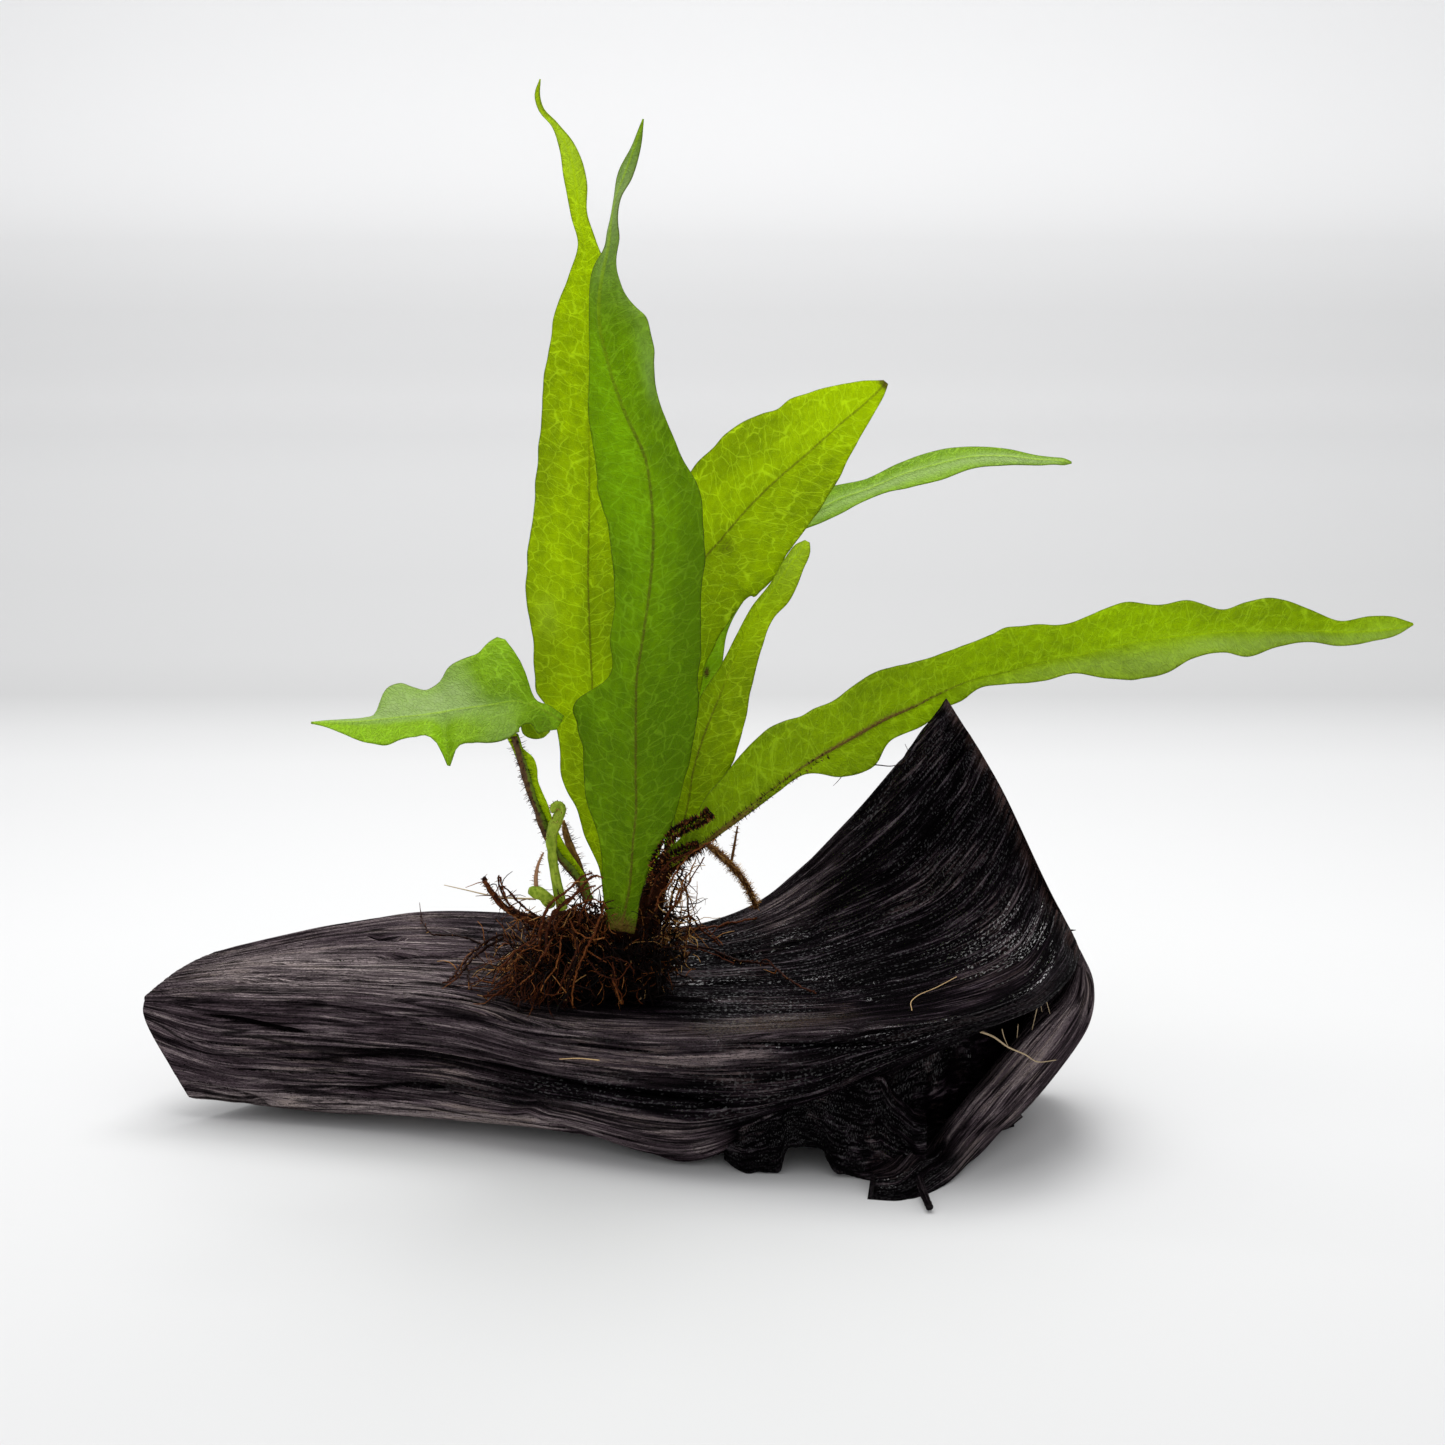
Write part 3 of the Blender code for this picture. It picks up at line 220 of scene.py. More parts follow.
# Stems: x, y, z and radius.
STEMS = {
    "rhizome": [
        (-43, 2, 55, 2.4), (-34, 4, 52.5, 3.4), (-27, 4, 51, 3.6), (-20, 3, 53, 3.4),
        (-17.8, 3, 61, 2.7), (-15.6, 3, 67, 2.5), (-12, 2.6, 71.6, 2.4), (-7.6, 2.4, 74.4, 1.9),
        (-4.8, 2.3, 75.6, 1.2)],
    "frond_left_stem": [
        (-34.2, 2, 60.2, 1.3), (-36.3, 2, 65.7, 1.3), (-38.8, 1.6, 69.4, 1.3),
        (-41.5, 1.2, 72.6, 1.2), (-43.4, 0.8, 76.2, 1.2), (-44.8, 0.2, 80, 1.3),
        (-46, -0.5, 84.1, 1.2), (-47.6, -2.2, 89, 1.1), (-48.6, -3.8, 93.6, 1.1),
        (-49.6, -5.2, 98.2, 1.1), (-50.6, -6.2, 102.6, 1), (-51.4, -7.2, 106.5, 0.9)],
    "old_stem": [(-35.8, 6.2, 61.5, 1.1), (-36.5, 6.2, 66.5, 1.1), (-38, 6.2, 70.8, 1.1),
                 (-39.4, 6.2, 74.6, 1), (-40.2, 6, 78, 0.7), (-40.5, 6, 80.4, 0.3)],
    "young_bud": [(-43.3, -5.2, 61.2, 1.2), (-44.2, -5.6, 63, 1.5), (-45.6, -6, 64.6, 1.6),
                  (-47.2, -6.5, 65.4, 1.6), (-48.6, -7, 65.9, 0.9)],
    "aerial_root": [(-3.4, 4.8, 74, 0.75), (-2, 8.5, 71.6, 0.8), (0.9, 14, 67.1, 0.85),
                    (3.8, 19, 62.2, 0.85), (6.5, 25, 56.3, 0.8), (7.9, 30, 51.6, 0.75),
                    (9, 33.5, 47.6, 0.7)],
}
# Side shoots that are one with a stem.
SHOOTS = {
    "aerial_root": [(2.2, 16.2, 65.4, 0.4), (3, 16, 70, 0.35), (3.9, 16, 75.7, 0.2)],
    "young_bud": [(-46.9, -6.3, 65.8, 0.6), (-46.9, -6, 69.7, 0.5), (-46.1, -6, 73.1, 0.35),
                  (-44.9, -6, 75.6, 0.2)],
}
COIL_CENTRE = (-41.6, -4.0, 86.7)
COIL_RADIUS = (1.3, 0.6)
COIL_START = -60.0
COIL_TURN = 290.0
COIL_STEPS = 12
COIL_RISE = 1.6         # each turn stands this much in front of the last
FIDDLE_STEM = [(-40.6, -4, 60, 1.35), (-41.8, -4, 66.5, 1.25), (-42.6, -4, 71.7, 1.15),
               (-43, -4, 75.6, 1.15), (-43, -4, 78.8, 1.35), (-42.4, -4, 81.4, 1.4),
               (-41.5, -4, 83.6, 1.35)]

# Root mass: a lumpy dome on the wood, with the long roots that leave it.
TUFT_CENTRE = (-34, 4, 38)
TUFT_SIZE = (25, 15, 15)
ROOTS = [
    (1.1, [(-40, 3, 49), (-44.7, 2, 53.3), (-51.7, 1, 56.9), (-56.7, 0, 60.5), (-60.4, -2, 67.4)]),
    (0.6, [(-42, 4, 50), (-45.6, 4, 53.7), (-53.3, 2, 58.4), (-55.9, 1, 62.8), (-56.5, 0, 67.5)]),
    (0.5, [(-44, 0, 51), (-48.3, 0, 56.7), (-50.3, -1, 58.9), (-53.2, -1.5, 62.3), (-55.6, -2, 65.4)]),
    (0.5, [(-44.6, 2, 57), (-50.4, 2, 61.2), (-58.9, 2, 61.4), (-63.2, 0, 62.9), (-70.5, -3, 65.8)]),
    (0.7, [(-45.5, -6, 48), (-45, -7.2, 57), (-42.9, -8, 61.8), (-39.9, -8, 64.8), (-36.8, -7.6, 67.2),
           (-34.6, -7, 69.4), (-31.8, -6.4, 70.6)]),
    (0.5, [(-45, -6.5, 55), (-42, -7.5, 60.6), (-38.4, -7.5, 63.9), (-34.6, -7, 65.9), (-31.9, -6.4, 67)]),
    (0.7, [(-48, 4, 46), (-57, 10, 46.5), (-63, 12, 42), (-66.7, 7, 40), (-68.6, 1, 39), (-71, -2, 38.6)]),
    (0.4, [(-66.5, 7, 40), (-65, -1, 38.7), (-63.9, -4, 38.2)]),
    (0.4, [(-50, 12, 44), (-57.5, 20, 42), (-63.6, 21.6, 41.2), (-70.9, 25.6, 41.7), (-76.8, 26, 41.8),
           (-79.5, 32, 42.4), (-82, 40, 42.7)]),
    (0.6, [(-44, -2, 46), (-50, -7, 44), (-56, -8.5, 39.2), (-60.5, -8.5, 37.9)]),
    (0.6, [(-42, 0, 45), (-49, -7, 44), (-53, -10, 37.8)]),
    (0.6, [(-31.5, -5, 55), (-35, -9, 51.7), (-37.2, -11.5, 46.9), (-38.7, -12.5, 42), (-39.6, -12.5, 37.6)]),
    (0.5, [(-27, -6, 47), (-27.5, -10.5, 43.4), (-26.4, -12, 40), (-25.4, -12, 37.4)]),
    (0.5, [(-18, 8, 45), (-12.9, 14, 44), (-8.7, 20, 41.5), (-2.8, 21.5, 39.8), (4.6, 14.8, 39.6),
           (11.8, 9.1, 39.7), (17.8, -1, 39), (23.7, -8.1, 38.7)]),
    (0.5, [(-17.5, 2, 44), (-14.2, 10, 42), (-12.1, 9, 38.4), (-7.6, 4.2, 37.7)]),
    (0.45, [(-14, 4, 47), (-9.6, 4, 50), (-8.9, 4, 56.4), (-9.1, 4, 61.8), (-9.3, 4, 67)]),
    (0.5, [(-15, 3.5, 50), (-13.2, 2.5, 58), (-12, 3, 64), (-9.6, 3, 69)]),
    (0.45, [(-14, 6, 48), (-8.4, 8, 54), (-5.1, 14, 48), (-2.5, 21, 43), (-0.9, 24, 40)]),
    (0.5, [(-16, 14, 44), (-11, 26, 44), (-6.9, 34, 41.3), (0.1, 34.8, 42.2), (5.5, 32, 44),
           (9.2, 31, 45.4)]),
    (0.6, [(-40, 14, 44), (-47, 22, 45), (-52, 27, 41)]),
    (0.6, [(-24, 15, 44), (-19, 23, 44), (-14, 28, 40.5)]),
]

ROOT_SEED = 21
ROOT_SIDES = {"main": 6, "inner": 5, "outer": 4}
THICK_ROOT = 0.55       # above this radius a root is frayed and has more twigs
THICKEST_ROOT = 0.7
STRAW_ROOT = 3          # this one of the roots is a straw, drawn with the fibres
CORE_CENTRE = (-34, 5, 41)
CORE_SIZE = (23, 13, 14)
CORE_TURNS, CORE_TIERS = 48, 24
TANGLE_COUNT = 430      # roots that wind through the mass, and the share of each radius
TANGLE_RADII = (0.13, 0.18, 0.24, 0.36)
TANGLE_SHARES = (0.35, 0.35, 0.2, 0.1)
FRINGE_COUNT = 150      # fine roots that leave it all round
# Clusters of fine roots: lowest and highest corner of where they start, how
# many, heading, how much it varies, length, half width, curl, droop, tone.
CLUSTERS = [
    ((-54, -8, 42), (-34, -2, 51), 110, (-0.4, -0.7, -0.5), 0.6,
     (6, 14), (0.12, 0.34), 0.6, 0.14, (0.1, 0.72)),
    ((-20, -3, 44), (-11, 3, 60), 120, (0.3, -0.5, 0.0), 0.7,
     (3, 8), (0.14, 0.34), 0.5, 0.08, (0.0, 0.45)),
    ((-40, -9, 38), (-12, 6, 50), 240, (0.1, -0.5, 0.0), 0.9,
     (5, 12), (0.14, 0.40), 0.55, 0.10, (0.0, 0.12)),
    ((-30, -10, 43), (-18, -7, 50), 90, (0.0, -0.2, 0.5), 0.6,
     (3, 8), (0.16, 0.40), 0.45, 0.05, (0.0, 0.2)),
    ((-54, -2, 40), (-46, 8, 46), 24, (-1.0, -0.3, -0.2), 0.35,
     (10, 24), (0.10, 0.26), 0.30, 0.12, (0.4, 1.0)),
    ((-54, -3, 46), (-44, 3, 55), 26, (-0.6, -0.3, 0.5), 0.6,
     (2, 6), (0.10, 0.24), 0.45, 0.02, (0.3, 0.9)),
    ((-50, 8, 42), (-14, 18, 50), 120, (0.0, 0.9, 0.0), 0.7,
     (6, 14), (0.12, 0.28), 0.50, 0.15, (0.0, 0.6)),
    ((-50, -6, 42), (-32, 2, 52), 40, (-0.2, -0.5, 0.3), 0.7,
     (4, 10), (0.16, 0.36), 0.60, 0.04, (0.4, 0.9)),
    ((-44, -5, 50), (-29, -1, 56), 70, (-0.1, -0.6, 0.3), 0.8,
     (4, 9), (0.14, 0.36), 0.55, 0.05, (0.2, 0.85)),
    ((-50, -11, 42), (-43, -8, 45), 70, (-0.4, -0.3, -1.0), 0.25,
     (6, 11), (0.12, 0.30), 0.3, 0.10, (0.2, 0.62)),
    ((-36, -10, 40), (-16, -7, 46), 22, (0.2, -0.5, -0.2), 0.8,
     (5, 10), (0.08, 0.18), 0.7, 0.08, (0.45, 0.8)),
    ((-39, -5, 53), (-28, 1, 61), 90, (0.0, -0.4, 0.5), 0.8,
     (3, 7), (0.14, 0.34), 0.55, 0.04, (0.1, 0.8)),
]
GOLD_CLUSTERS = [
    ((-17, -1, 44), (-7, 7, 56), 80, (0.4, -0.1, 0.1), 0.9,
     (4, 9), (0.10, 0.28), 0.6, 0.04, (0.0, 0.9)),
    ((-17, 0, 54), (-10, 5, 70), 55, (0.5, -0.1, -0.6), 0.5,
     (6, 13), (0.10, 0.26), 0.45, 0.06, (0.0, 1.0)),
    ((-54, -4, 42), (-42, 2, 47), 12, (-0.7, -0.4, 0.0), 0.6,
     (6, 16), (0.08, 0.18), 0.40, 0.10, (0.0, 0.7)),
]

# Strands that stand out in front of the root mass: radius, tone, then the
# pixel and the depth Y of their places.
NEAR_ROOTS = [
    (0.36, 0.66, [(603, 905, -9), (596, 923, -10.5), (580, 952, -13), (569, 980, -14), (564, 1001, -14)]),
    (0.27, 0.55, [(612, 962, -12), (615, 980, -13), (622, 1003, -13)]),
    (0.26, 0.47, [(586, 958, -12), (600, 974, -14), (616, 979, -14), (632, 968, -13)]),
    (0.26, 0.43, [(598, 962, -11), (612, 958, -13), (628, 963, -13), (634, 976, -12)]),
    (0.22, 0.47, [(664, 948, -6), (700, 951, -6), (735, 960, -7)]),
    (0.20, 0.58, [(695, 916, 2), (706, 930, 0), (719, 948, -2)]),
    (0.29, 0.62, [(553, 938, -9), (541, 955, -11.5), (528, 975, -12.5), (519, 985, -12.5)]),
    (0.26, 0.70, [(562, 935, -9), (560, 955, -12), (552, 978, -13.5), (545, 990, -13.5)]),
    (0.31, 0.47, [(570, 930, -9), (575, 950, -12), (562, 975, -13.5), (552, 993, -13.5)]),
    (0.26, 0.58, [(536, 938, -7), (520, 950, -9), (508, 962, -9.5), (494, 985, -10)]),
    (0.22, 0.70, [(540, 945, -7), (516, 958, -9), (500, 975, -9.5), (496, 968, -9.5)]),
    (0.20, 0.55, [(585, 912, -8), (592, 928, -10), (588, 945, -11)]),
    (0.26, 0.70, [(568, 918, -8), (575, 930, -10), (590, 938, -11.5), (604, 935, -11)]),
    (0.44, 0.74, [(549, 920, -5), (559, 906, -6), (571, 896, -6.5), (586, 880, -6), (600, 873, -5.5),
                  (609, 874, -4)]),
    (0.34, 0.60, [(577, 926, -7), (584, 906, -7), (592, 893, -6.5), (604, 887, -5.5)]),
    (0.30, 0.66, [(556, 928, -7), (566, 912, -7.5), (580, 903, -7), (596, 900, -7), (608, 908, -8)]),
    (0.34, 0.50, [(648, 905, -6), (655, 885, -7), (668, 868, -7), (690, 852, -6), (712, 841, -4)]),
    (0.30, 0.70, [(655, 912, -6), (668, 888, -7), (684, 868, -6), (700, 850, -5), (722, 842, -3)]),
    (0.28, 0.62, [(664, 920, -5), (676, 896, -6), (690, 872, -5), (702, 856, -4)]),
    (0.24, 0.80, [(676, 905, -4), (688, 885, -4), (697, 868, -4), (700, 855, -3)]),
]
# The hairy brown crusts at the base of the long frond: how close the hairs
# stand, how long they are, then the pixel and the depth Y of their places.
CRUSTS = [
    (44, 1.2, [(655, 868, -6), (659, 854, -5.8), (667, 839, -5.5), (680, 829, -5), (692, 824, -4),
               (704, 818, -3.4), (711, 812, -3)]),
    (34, 1.2, [(652, 884, -6), (660, 868, -6), (672, 857, -5), (686, 850, -4), (699, 846, -3)]),
]

# Deep cracks of the front and the top: half width in pixels, depth, then
# places as pixels of the photo.
CRACKS = [
    (2.2, 1.8, [(368, 938), (407, 941)]), (2.0, 1.6, [(372, 959), (430, 955), (476, 957)]),
    (1.8, 1.5, [(438, 932), (507, 929)]), (2.6, 2.0, [(191, 1014), (236, 1019), (284, 1029), (315, 1034)]),
    (2.6, 2.4, [(311, 1047), (361, 1051), (415, 1053), (476, 1063), (530, 1073), (620, 1094)]),
    (2.0, 1.6, [(257, 1057), (322, 1061), (357, 1058)]),
    (2.2, 1.8, [(295, 1086), (361, 1090), (438, 1088), (468, 1101)]),
    (2.0, 1.4, [(461, 1011), (515, 1020), (620, 1033)]), (1.8, 1.4, [(545, 1041), (620, 1049), (680, 1056)]),
    (2.4, 1.8, [(560, 1083), (635, 1092), (718, 1106), (739, 1116)]),
    (1.6, 1.2, [(240, 1000), (330, 1006), (420, 1022)]), (1.6, 1.2, [(170, 1040), (240, 1046), (300, 1052)]),
    (1.8, 1.3, [(210, 1068), (300, 1074), (400, 1076)]), (1.5, 1.1, [(250, 975), (340, 980), (430, 984)]),
    (1.7, 1.3, [(697, 1040), (818, 1046), (930, 1040)]), (1.6, 1.0, [(620, 1062), (720, 1068), (820, 1066)]),
]

# Wetter areas of the log, and spots painted paler, mostly as painted light on
# its top, the facet at its front foot, the arch and the fin's left flank: centre
# and reach as pixels of the photo, the turn in degrees, and how much wetter
# (below zero, how much paler).
DAMP_AND_LIT_SPOTS = [
    (330, 974, 150, 26, 2, -0.42), (620, 1123, 95, 14, 11, -0.62), (712, 1144, 20, 22, 20, -0.6),
    (640, 1094, 110, 7, 9, 0.35), (780, 1092, 110, 10, 2, 0.3), (240, 1030, 60, 9, 3, 0.15),
    (600, 998, 130, 18, 3, 0.45), (790, 1062, 110, 12, 0, -0.2), (800, 1124, 52, 20, 0, -0.25),
    (505, 1092, 110, 13, 3, 0.45), (500, 1040, 110, 14, 3, 0.2), (800, 1030, 85, 13, 0, -0.35),
    (780, 975, 90, 22, 0, 0.2), (290, 1070, 130, 30, 3, 0.10), (806, 862, 34, 80, 38, -0.36),
]

FIBRE_SIDES = 5
FIBRE_STEP = 0.8
STRAW_MARK = 0.9
STRAW_LIFT = 0.35       # straws lie this much above the wood
# Loose fibres: radius, then places as pixels of the photo.
STRAWS = [(0.12, [(912, 1012), (913, 1001), (918, 997), (936, 989), (957, 978)]),
          (0.15, [(560, 1059), (580, 1058), (600, 1060)]),
          (0.15, [(498, 966), (510, 954), (518, 948)]),
          (0.2, [(640, 1000), (652, 990)])]
# Fibres that hang free: radius, 0 for dark to 1 for straw, then the pixel and
# the depth Y of their places.
FREE_FIBRES = [
    (0.30, 0.9, [(976, 1030, -32), (992, 1036, -30), (1008, 1047, -27), (1024, 1054, -24),
                 (1040, 1062, -19), (1056, 1060, -17)]),
    (0.14, 0.9, [(1002, 1029, -29), (1004, 1037, -28), (1008, 1046, -27)]),
    (0.14, 0.8, [(1018, 1024, -25), (1017, 1038, -25)]),
    (0.14, 0.9, [(1037, 1008, -21), (1032, 1030, -21)]),
    (0.13, 0.9, [(1046, 1000, -17), (1050, 1014, -17)]),
    (0.13, 0.8, [(1040, 1001, -19), (1042, 1012, -19)]),
    (0.20, 0.0, [(858, 764, 20), (878, 765, 20), (892, 766, 21), (904, 762, 22), (908, 752, 22),
                 (905, 744, 24)]),
    (0.13, 0.1, [(842, 776, 20), (838, 781, 20), (833, 786, 20)]),
    (0.12, 0.6, [(690, 907, 4), (697, 900, 4), (705, 898, 4), (705, 905, 4)]),
    (0.16, 0.5, [(695, 853, 2), (699, 862, 2), (702, 870, 2)]),
    (0.14, 0.6, [(688, 912, 3), (687, 892, 3), (686, 872, 3)]),
    (0.30, 1.0, [(536, 899, 2), (510, 898, 1), (488, 895, 0), (466, 890, -1), (444, 885, -3)]),
]

# ---------------------------------------------------------------- sizes of the finer shapes

WOOD_STEP = 0.8         # along the grain
WOOD_COUNTS = (38, 36, 32, 10, 8, 7, 8, 8, 34, 34)      # points from each rail to the next
WOOD_SEED = 11
RIM_STEP = 0.7
RIM_COUNTS = (20, 16, 14, 8, 16, 16)
RIM_SEED = 31
ARCH_XS = (0.5, 50.2, 0.35)     # first X, end and step of the arch's sections
CAVE_XS = (34.0, 76.0, 0.8)
WALL_COUNTS = (26, 9, 20, 9)    # points on the front, underside, back and top of both
# Where round the wood the grain of each part of the flare is read, so that no two match.
GRAIN_OFFSETS = {"strap": 400.0, "arch": 500.0, "cave": 600.0, "twig": 700.0, "splinters": 720.0}
WET = np.array((1.0, 0, 0))     # wet, but neither grimy nor brown
TORN_SEED = 41
WALL_SEED = 77
TWIG_SEED = 3
TWIG_SIDES = 10
TWIG_GRAIN = (0.6, 0.8)         # grain from one point to the next, along and round
SPLINTER_SIDES = 6
# Torn splinters along the strap: pixels of root and tip, depth Y, half width.
SPLINTERS = [((1018, 1112), (993, 1136), -4, 1.95), ((1000, 1124), (981, 1145), -8, 1.3),
             ((978, 1146), (966, 1160), -12, 1.17), ((966, 1160), (958, 1177), -16, 1.3),
             ((956, 1170), (950, 1187), -20, 1.17), ((948, 1176), (924, 1190), -24, 2.08),
             ((1064, 1052), (1060, 1068), 8, 1.17), ((1050, 1074), (1040, 1082), 4, 1.04),
             ((1062, 931), (1076, 930), 16, 0.455), ((246, 962), (219, 968), 20, 1.04)]

CAMERA_AIM = (0.0, 0.0, 107.8)
CAMERA_RISE = 15.0      # degrees
CAMERA_FAR = 650.0
LENS_PX = 2600.0        # focal length in pixels of the photo
PHOTO_PX = 1445
SENSOR = 36.0           # width of the camera's sensor

STEM_STEP = 0.7
STEM_SIDES = 16
STALK_MARK, SHOOT_MARK = 0.5, 0.8       # side shoots have a colour of their own
HAIR_SEED = 5
HAIR_SIDES = 3
COIL_SHARE = 0.45       # the rolled part, as a share of the fiddlehead's length

FROND_SEED = 60         # of the first frond, and from one to the next
FROND_SEED_STEP = 7
LEAF_STEP = 0.9
LEAF_COLUMNS = 32
LEAF_THICK = 0.34
MARGIN_CROWDING = 1.35  # how much closer the points stand at the midrib
MARGIN_JAG = 0.07       # how uneven the margin is, as a share of the width
JAG_LENGTH = 4.5
RIB_WIDTH = 0.55
RIB_HEIGHT = 0.3
VEIN_STEP = 5.6         # between two side veins
VEIN_SLANT = 0.42       # how far a side vein climbs for each mm outwards
VEIN_BEND = 0.012       # how much more it climbs further out


# ---------------------------------------------------------------- curves and heights

def unit(v):
    """Vectors at length one."""
    return v / np.maximum(np.linalg.norm(v, axis=-1, keepdims=True), 1e-9)


def ease(low, high, value):
    """0 at low, 1 at high, smooth between them and held beyond."""
    s = np.clip((np.asarray(value, float) - low) / (high - low), 0, 1)
    return s * s * (3 - 2 * s)


DENSE = 24              # points of a curve between two rows, before it gets even steps


def between(s, start, end, leave, arrive):
    """The place at share s of a curve that leaves start and arrives at end along two tangents."""
    return ((2 * s**3 - 3 * s**2 + 1) * start + (s**3 - 2 * s**2 + s) * leave
            + (3 * s**2 - 2 * s**3) * end + (s**3 - s**2) * arrive)


def chords(rows):
    """How far each row is from the last: by its first three numbers, or the mean of its rails."""
    if rows.ndim == 3:
        return np.sqrt(((rows[1:] - rows[:-1]) ** 2).sum(axis=2)).mean(axis=1)
    return np.sqrt(((rows[1:, :3] - rows[:-1, :3]) ** 2).sum(axis=1))


def smooth_rows(rows, per_span):
    """Rows of numbers joined by a smooth curve, with chord-length spacing."""
    rows = np.array(rows, float)
    flat = rows.reshape(len(rows), -1)
    spans = np.maximum(chords(rows), 1e-6)
    slopes = (flat[1:] - flat[:-1]) / spans[:, None]
    before, after = spans[:-1, None], spans[1:, None]
    inner = (slopes[:-1] * after + slopes[1:] * before) / (before + after)
    tangents = np.concatenate([slopes[:1], inner, slopes[-1:]])
    out = [flat[0]]
    for i, span in enumerate(spans):
        for k in range(1, per_span + 1):
            out.append(between(k / per_span, flat[i], flat[i + 1],
                               span * tangents[i], span * tangents[i + 1]))
    return np.array(out).reshape((-1,) + rows.shape[1:])


def even_rows(rows, step):
    """Rows at even steps along the smooth curve, and how far along each is."""
    dense = smooth_rows(rows, DENSE)
    flat = dense.reshape(len(dense), -1)
    far = np.concatenate([[0.0], np.cumsum(chords(dense))])
    count = max(2, int(round(far[-1] / step)))
    at = np.linspace(0, far[-1], count + 1)
    out = np.stack([np.interp(at, far, column) for column in flat.T], axis=1)
    return out.reshape((-1,) + dense.shape[1:]), at


def round_sections(stations, counts, corners):
    """Closed sections through the rails of every station."""
    count = stations.shape[1]
    out = []
    for i in range(count):
        p0, p1, p2, p3 = [stations[:, (i + k) % count] for k in (-1, 0, 1, 2)]
        leave = (p2 - p1) if i in corners else (p2 - p0) / 2
        arrive = (p2 - p1) if (i + 1) % count in corners else (p3 - p1) / 2
        out += [between(k / counts[i], p1, p2, leave, arrive) for k in range(counts[i])]
    return np.stack(out, axis=1)


def soften(grid, times):
    """Round the edges that run along a closed grid."""
    for _ in range(times):
        grid = 0.5 * grid + 0.25 * (np.roll(grid, 1, axis=1) + np.roll(grid, -1, axis=1))
    return grid


def grid_normals(grid):
    """Outward normals of a grid that is closed across."""
    along = np.gradient(grid, axis=0)
    across = np.roll(grid, -1, axis=1) - np.roll(grid, 1, axis=1)
    return unit(np.cross(along, across))


def blade_normals(grid):
    """Normals of a grid that is open on all sides."""
    return unit(np.cross(np.gradient(grid, axis=0), np.gradient(grid, axis=1)))


def ring_around(path, turn):
    """A ring of unit vectors across a path, at every point of it."""
    ahead = unit(np.gradient(path, axis=0))
    least = np.argmin(np.abs(ahead).mean(axis=0))
    aside = unit(np.cross(ahead, np.eye(3)[least]))
    other = np.cross(ahead, aside)
    return np.cos(turn)[None, :, None] * aside[:, None] + np.sin(turn)[None, :, None] * other[:, None]


class Relief:
    """Random heights from 0 to 1 that change smoothly and repeat."""

    def __init__(self, seed, cells_u, cells_v):
        self.table = np.random.default_rng(seed).random((cells_u, cells_v))

    def __call__(self, u, v):
        u, v = np.broadcast_arrays(np.asarray(u, float), np.asarray(v, float))
        i, j = np.floor(u).astype(int), np.floor(v).astype(int)
        a, b = u - i, v - j
        a, b = a * a * (3 - 2 * a), b * b * (3 - 2 * b)
        rows, columns = self.table.shape
        i0, i1, j0, j1 = i % rows, (i + 1) % rows, j % columns, (j + 1) % columns
        low = self.table[i0, j0] * (1 - a) + self.table[i1, j0] * a
        high = self.table[i0, j1] * (1 - a) + self.table[i1, j1] * a
        return low * (1 - b) + high * b


# ---------------------------------------------------------------- the photo's view

def camera_frame():
    """Where the camera stands, and its right, up and forward directions."""
    rise = math.radians(CAMERA_RISE)
    right = np.array([1.0, 0, 0])
    up = np.array([0, math.sin(rise), math.cos(rise)])
    ahead = np.cross(up, right)
    return np.array(CAMERA_AIM) - ahead * CAMERA_FAR, right, up, ahead


def sight(px, py):
    """The camera's place, and the way from it through a pixel of the photo."""
    eye, right, up, ahead = camera_frame()
    return eye, LENS_PX * ahead + right * (px - PHOTO_PX / 2) - up * (py - PHOTO_PX / 2)


def seen(px, py, depth):
    """The point at a depth Y that shows at a pixel of the photo."""
    eye, way = sight(px, py)
    return eye + way * (depth - eye[1]) / way[1]


def photo_pixels(grid):
    """Where each point shows in the photo, and whether it faces the camera."""
    eye, right, up, ahead = camera_frame()
    view = grid - eye
    far = view @ ahead
    px = PHOTO_PX / 2 + LENS_PX * (view @ right) / far
    py = PHOTO_PX / 2 - LENS_PX * (view @ up) / far
    return px, py, (grid_normals(grid) * view).sum(axis=-1) < 0


# ---------------------------------------------------------------- meshes

def mesh_object(name, points, faces, finish):
    """A smooth mesh from points in millimetres, with one finish."""
    mesh = bpy.data.meshes.new(name)
    mesh.from_pydata((np.asarray(points, float) * MM).tolist(), [], faces)
    mesh.materials.append(finish)
    mesh.shade_smooth()
    obj = bpy.data.objects.new(name, mesh)
    bpy.context.scene.collection.objects.link(obj)
    return obj


def piece(name, points, faces, finish, replaces=(), attributes=None):
    """One piece of the wood or the plant. It rides on the only body."""
    obj = mesh_object(name, points, faces, finish)
    for key, values in (attributes or {}).items():
        layer = obj.data.attributes.new(key, "FLOAT_VECTOR", "POINT")
        layer.data.foreach_set("vector", np.asarray(values, float).ravel())
    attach(obj, "root")
    if replaces:
        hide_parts(*replaces)
    return obj


def grid_faces(rows, columns, closed, offset=0):
    """Quads of a grid of points, rows by columns."""
    last = columns if closed else columns - 1
    r, k = np.meshgrid(np.arange(rows - 1), np.arange(last), indexing="ij")
    a = r * columns + k
    b = r * columns + (k + 1) % columns
    quads = np.stack([a, b, b + columns, a + columns], axis=-1).reshape(-1, 4) + offset
    return quads.tolist()


def turned_over(faces):
    """Faces that look the other way."""
    return [face[::-1] for face in faces]


def ladder(ring, top_end):
    """Triangles that close a ring whose first side runs from 0 to top_end."""
    top = list(range(0, top_end + 1))
    low = [0] + list(range(len(ring) - 1, top_end - 1, -1))
    top_steps, low_steps = len(top) - 1, len(low) - 1
    i = j = 0
    faces = []
    while i < top_steps or j < low_steps:
        if i < top_steps and (j == low_steps or i / top_steps <= j / low_steps):
            tri = (top[i], top[i + 1], low[j])
            i += 1
        else:
            tri = (top[i], low[j + 1], low[j])
            j += 1
        if len(set(tri)) == 3:
            faces.append(tuple(ring[k] for k in tri))
    return faces


